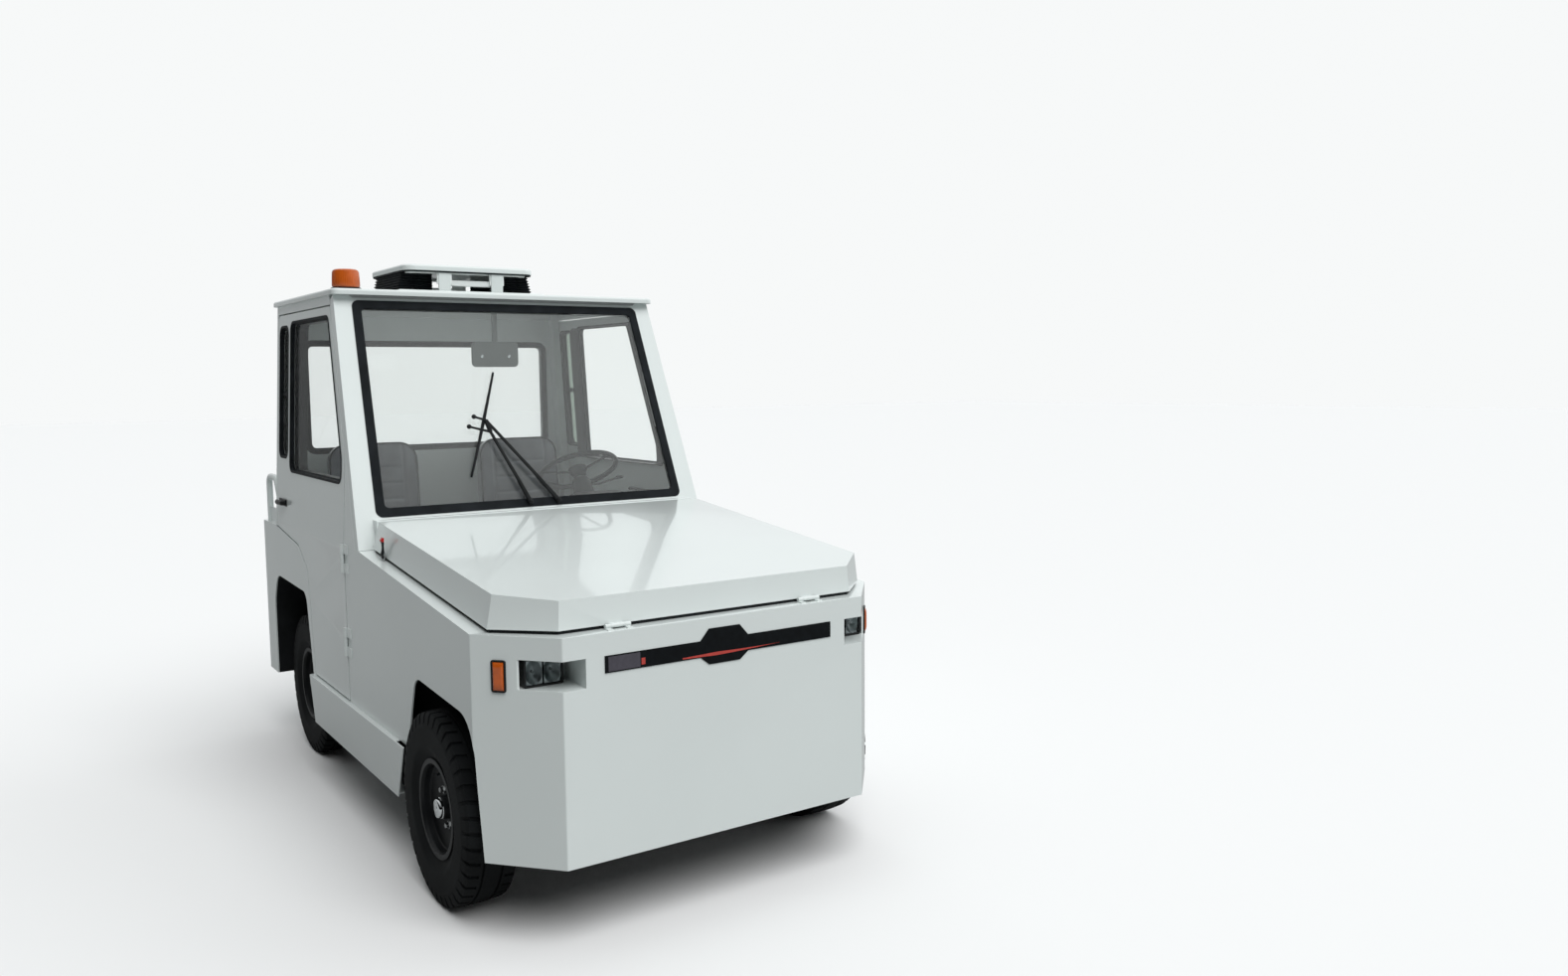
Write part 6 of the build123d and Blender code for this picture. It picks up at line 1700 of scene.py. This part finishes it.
lining_line = round_rectangle((-0.705, 0, LINING_Z), (0, 0.690, 0), (-0.480, 0, 0), 0.03, 5)
hole_line = round_rectangle((-0.880, 0, LINING_Z), (0, 0.285, 0), (-0.255, 0, 0), 0.04, 5)
lining_rings = [
    lining_line, lining_line * (1, 0.985, 1) - (0, 0, 0.010), hole_line - (0, 0, 0.012), hole_line,
]
lining_faces = grid_faces(4, len(lining_line), wrap_rows=True, wrap_columns=True)
lining_cloth = finish("lining_cloth", (0.30, 0.31, 0.31), 0.9, spread=0.05, spread_scale=30, grain=0.5,
                      grain_scale=1400, grain_kind="cells")
lay("roof_lining", lining_rings, lining_faces, "grey_plastic", "chassis", material=lining_cloth)
print("mat from", mat_x[0], "to", mat_x[-1])

# %% [markdown]
# ### Door linings
# The inner side of each door has a moulded lining with a raised border, and a pull handle over it. The
# lining is a thin worked face, because it lies flat on the door's inner sheet.

# %% Door linings
CARD_X, CARD_Z = (-0.560, -0.090), (0.530, 1.110)
card_u = np.linspace(CARD_X[0], CARD_X[1], 48)
card_v = np.linspace(CARD_Z[0], CARD_Z[1], 56)


def card_height(u, v):
    """A lining about 2 mm thick, with a rounded border that rises to nearly 4 mm."""
    edge = np.minimum(np.minimum(u - CARD_X[0], CARD_X[1] - u), np.minimum(v - CARD_Z[0], CARD_Z[1] - v))
    border = np.clip(1 - np.abs(edge - 0.022) / 0.010, 0, 1)
    return 0.0022 + 0.0016 * np.sqrt(border)


card = relief((0, BODY_HALF - 0.0402, 0), AHEAD, UP, card_u, card_v, card_height)
pull_corners = [
    (-0.420, 0.760, 1.250), (-0.420, 0.722, 1.252), (-0.200, 0.722, 1.252), (-0.200, 0.760, 1.250),
]
pull = tube(rounded(pull_corners, [0, 0.022, 0.022, 0], 6, closed=False), 0.009, 12)
lay_pair("door_lining_", card, "grey_plastic", "door_")
lay_pair("door_pull_", pull, "black_plastic", "door_")
print("door linings from", CARD_X[0], "to", CARD_X[1])

# %% [markdown]
# ## Studio floor
# A studio has a floor that runs on behind the object without an edge. A curved sheet would give that
# from one side only; a level one, sixty metres long each way, gives it all round. It rides on the chassis,
# like the tug's own pieces.

# %% Studio floor
floor_corners = [(a * FLOOR_REACH, b * FLOOR_REACH, 0) for a, b in ((-1, -1), (1, -1), (1, 1), (-1, 1))]
floor = lay("floor", floor_corners, [(0, 1, 2, 3)], "white_paint", "chassis", material=floor_white,
            smooth=False)
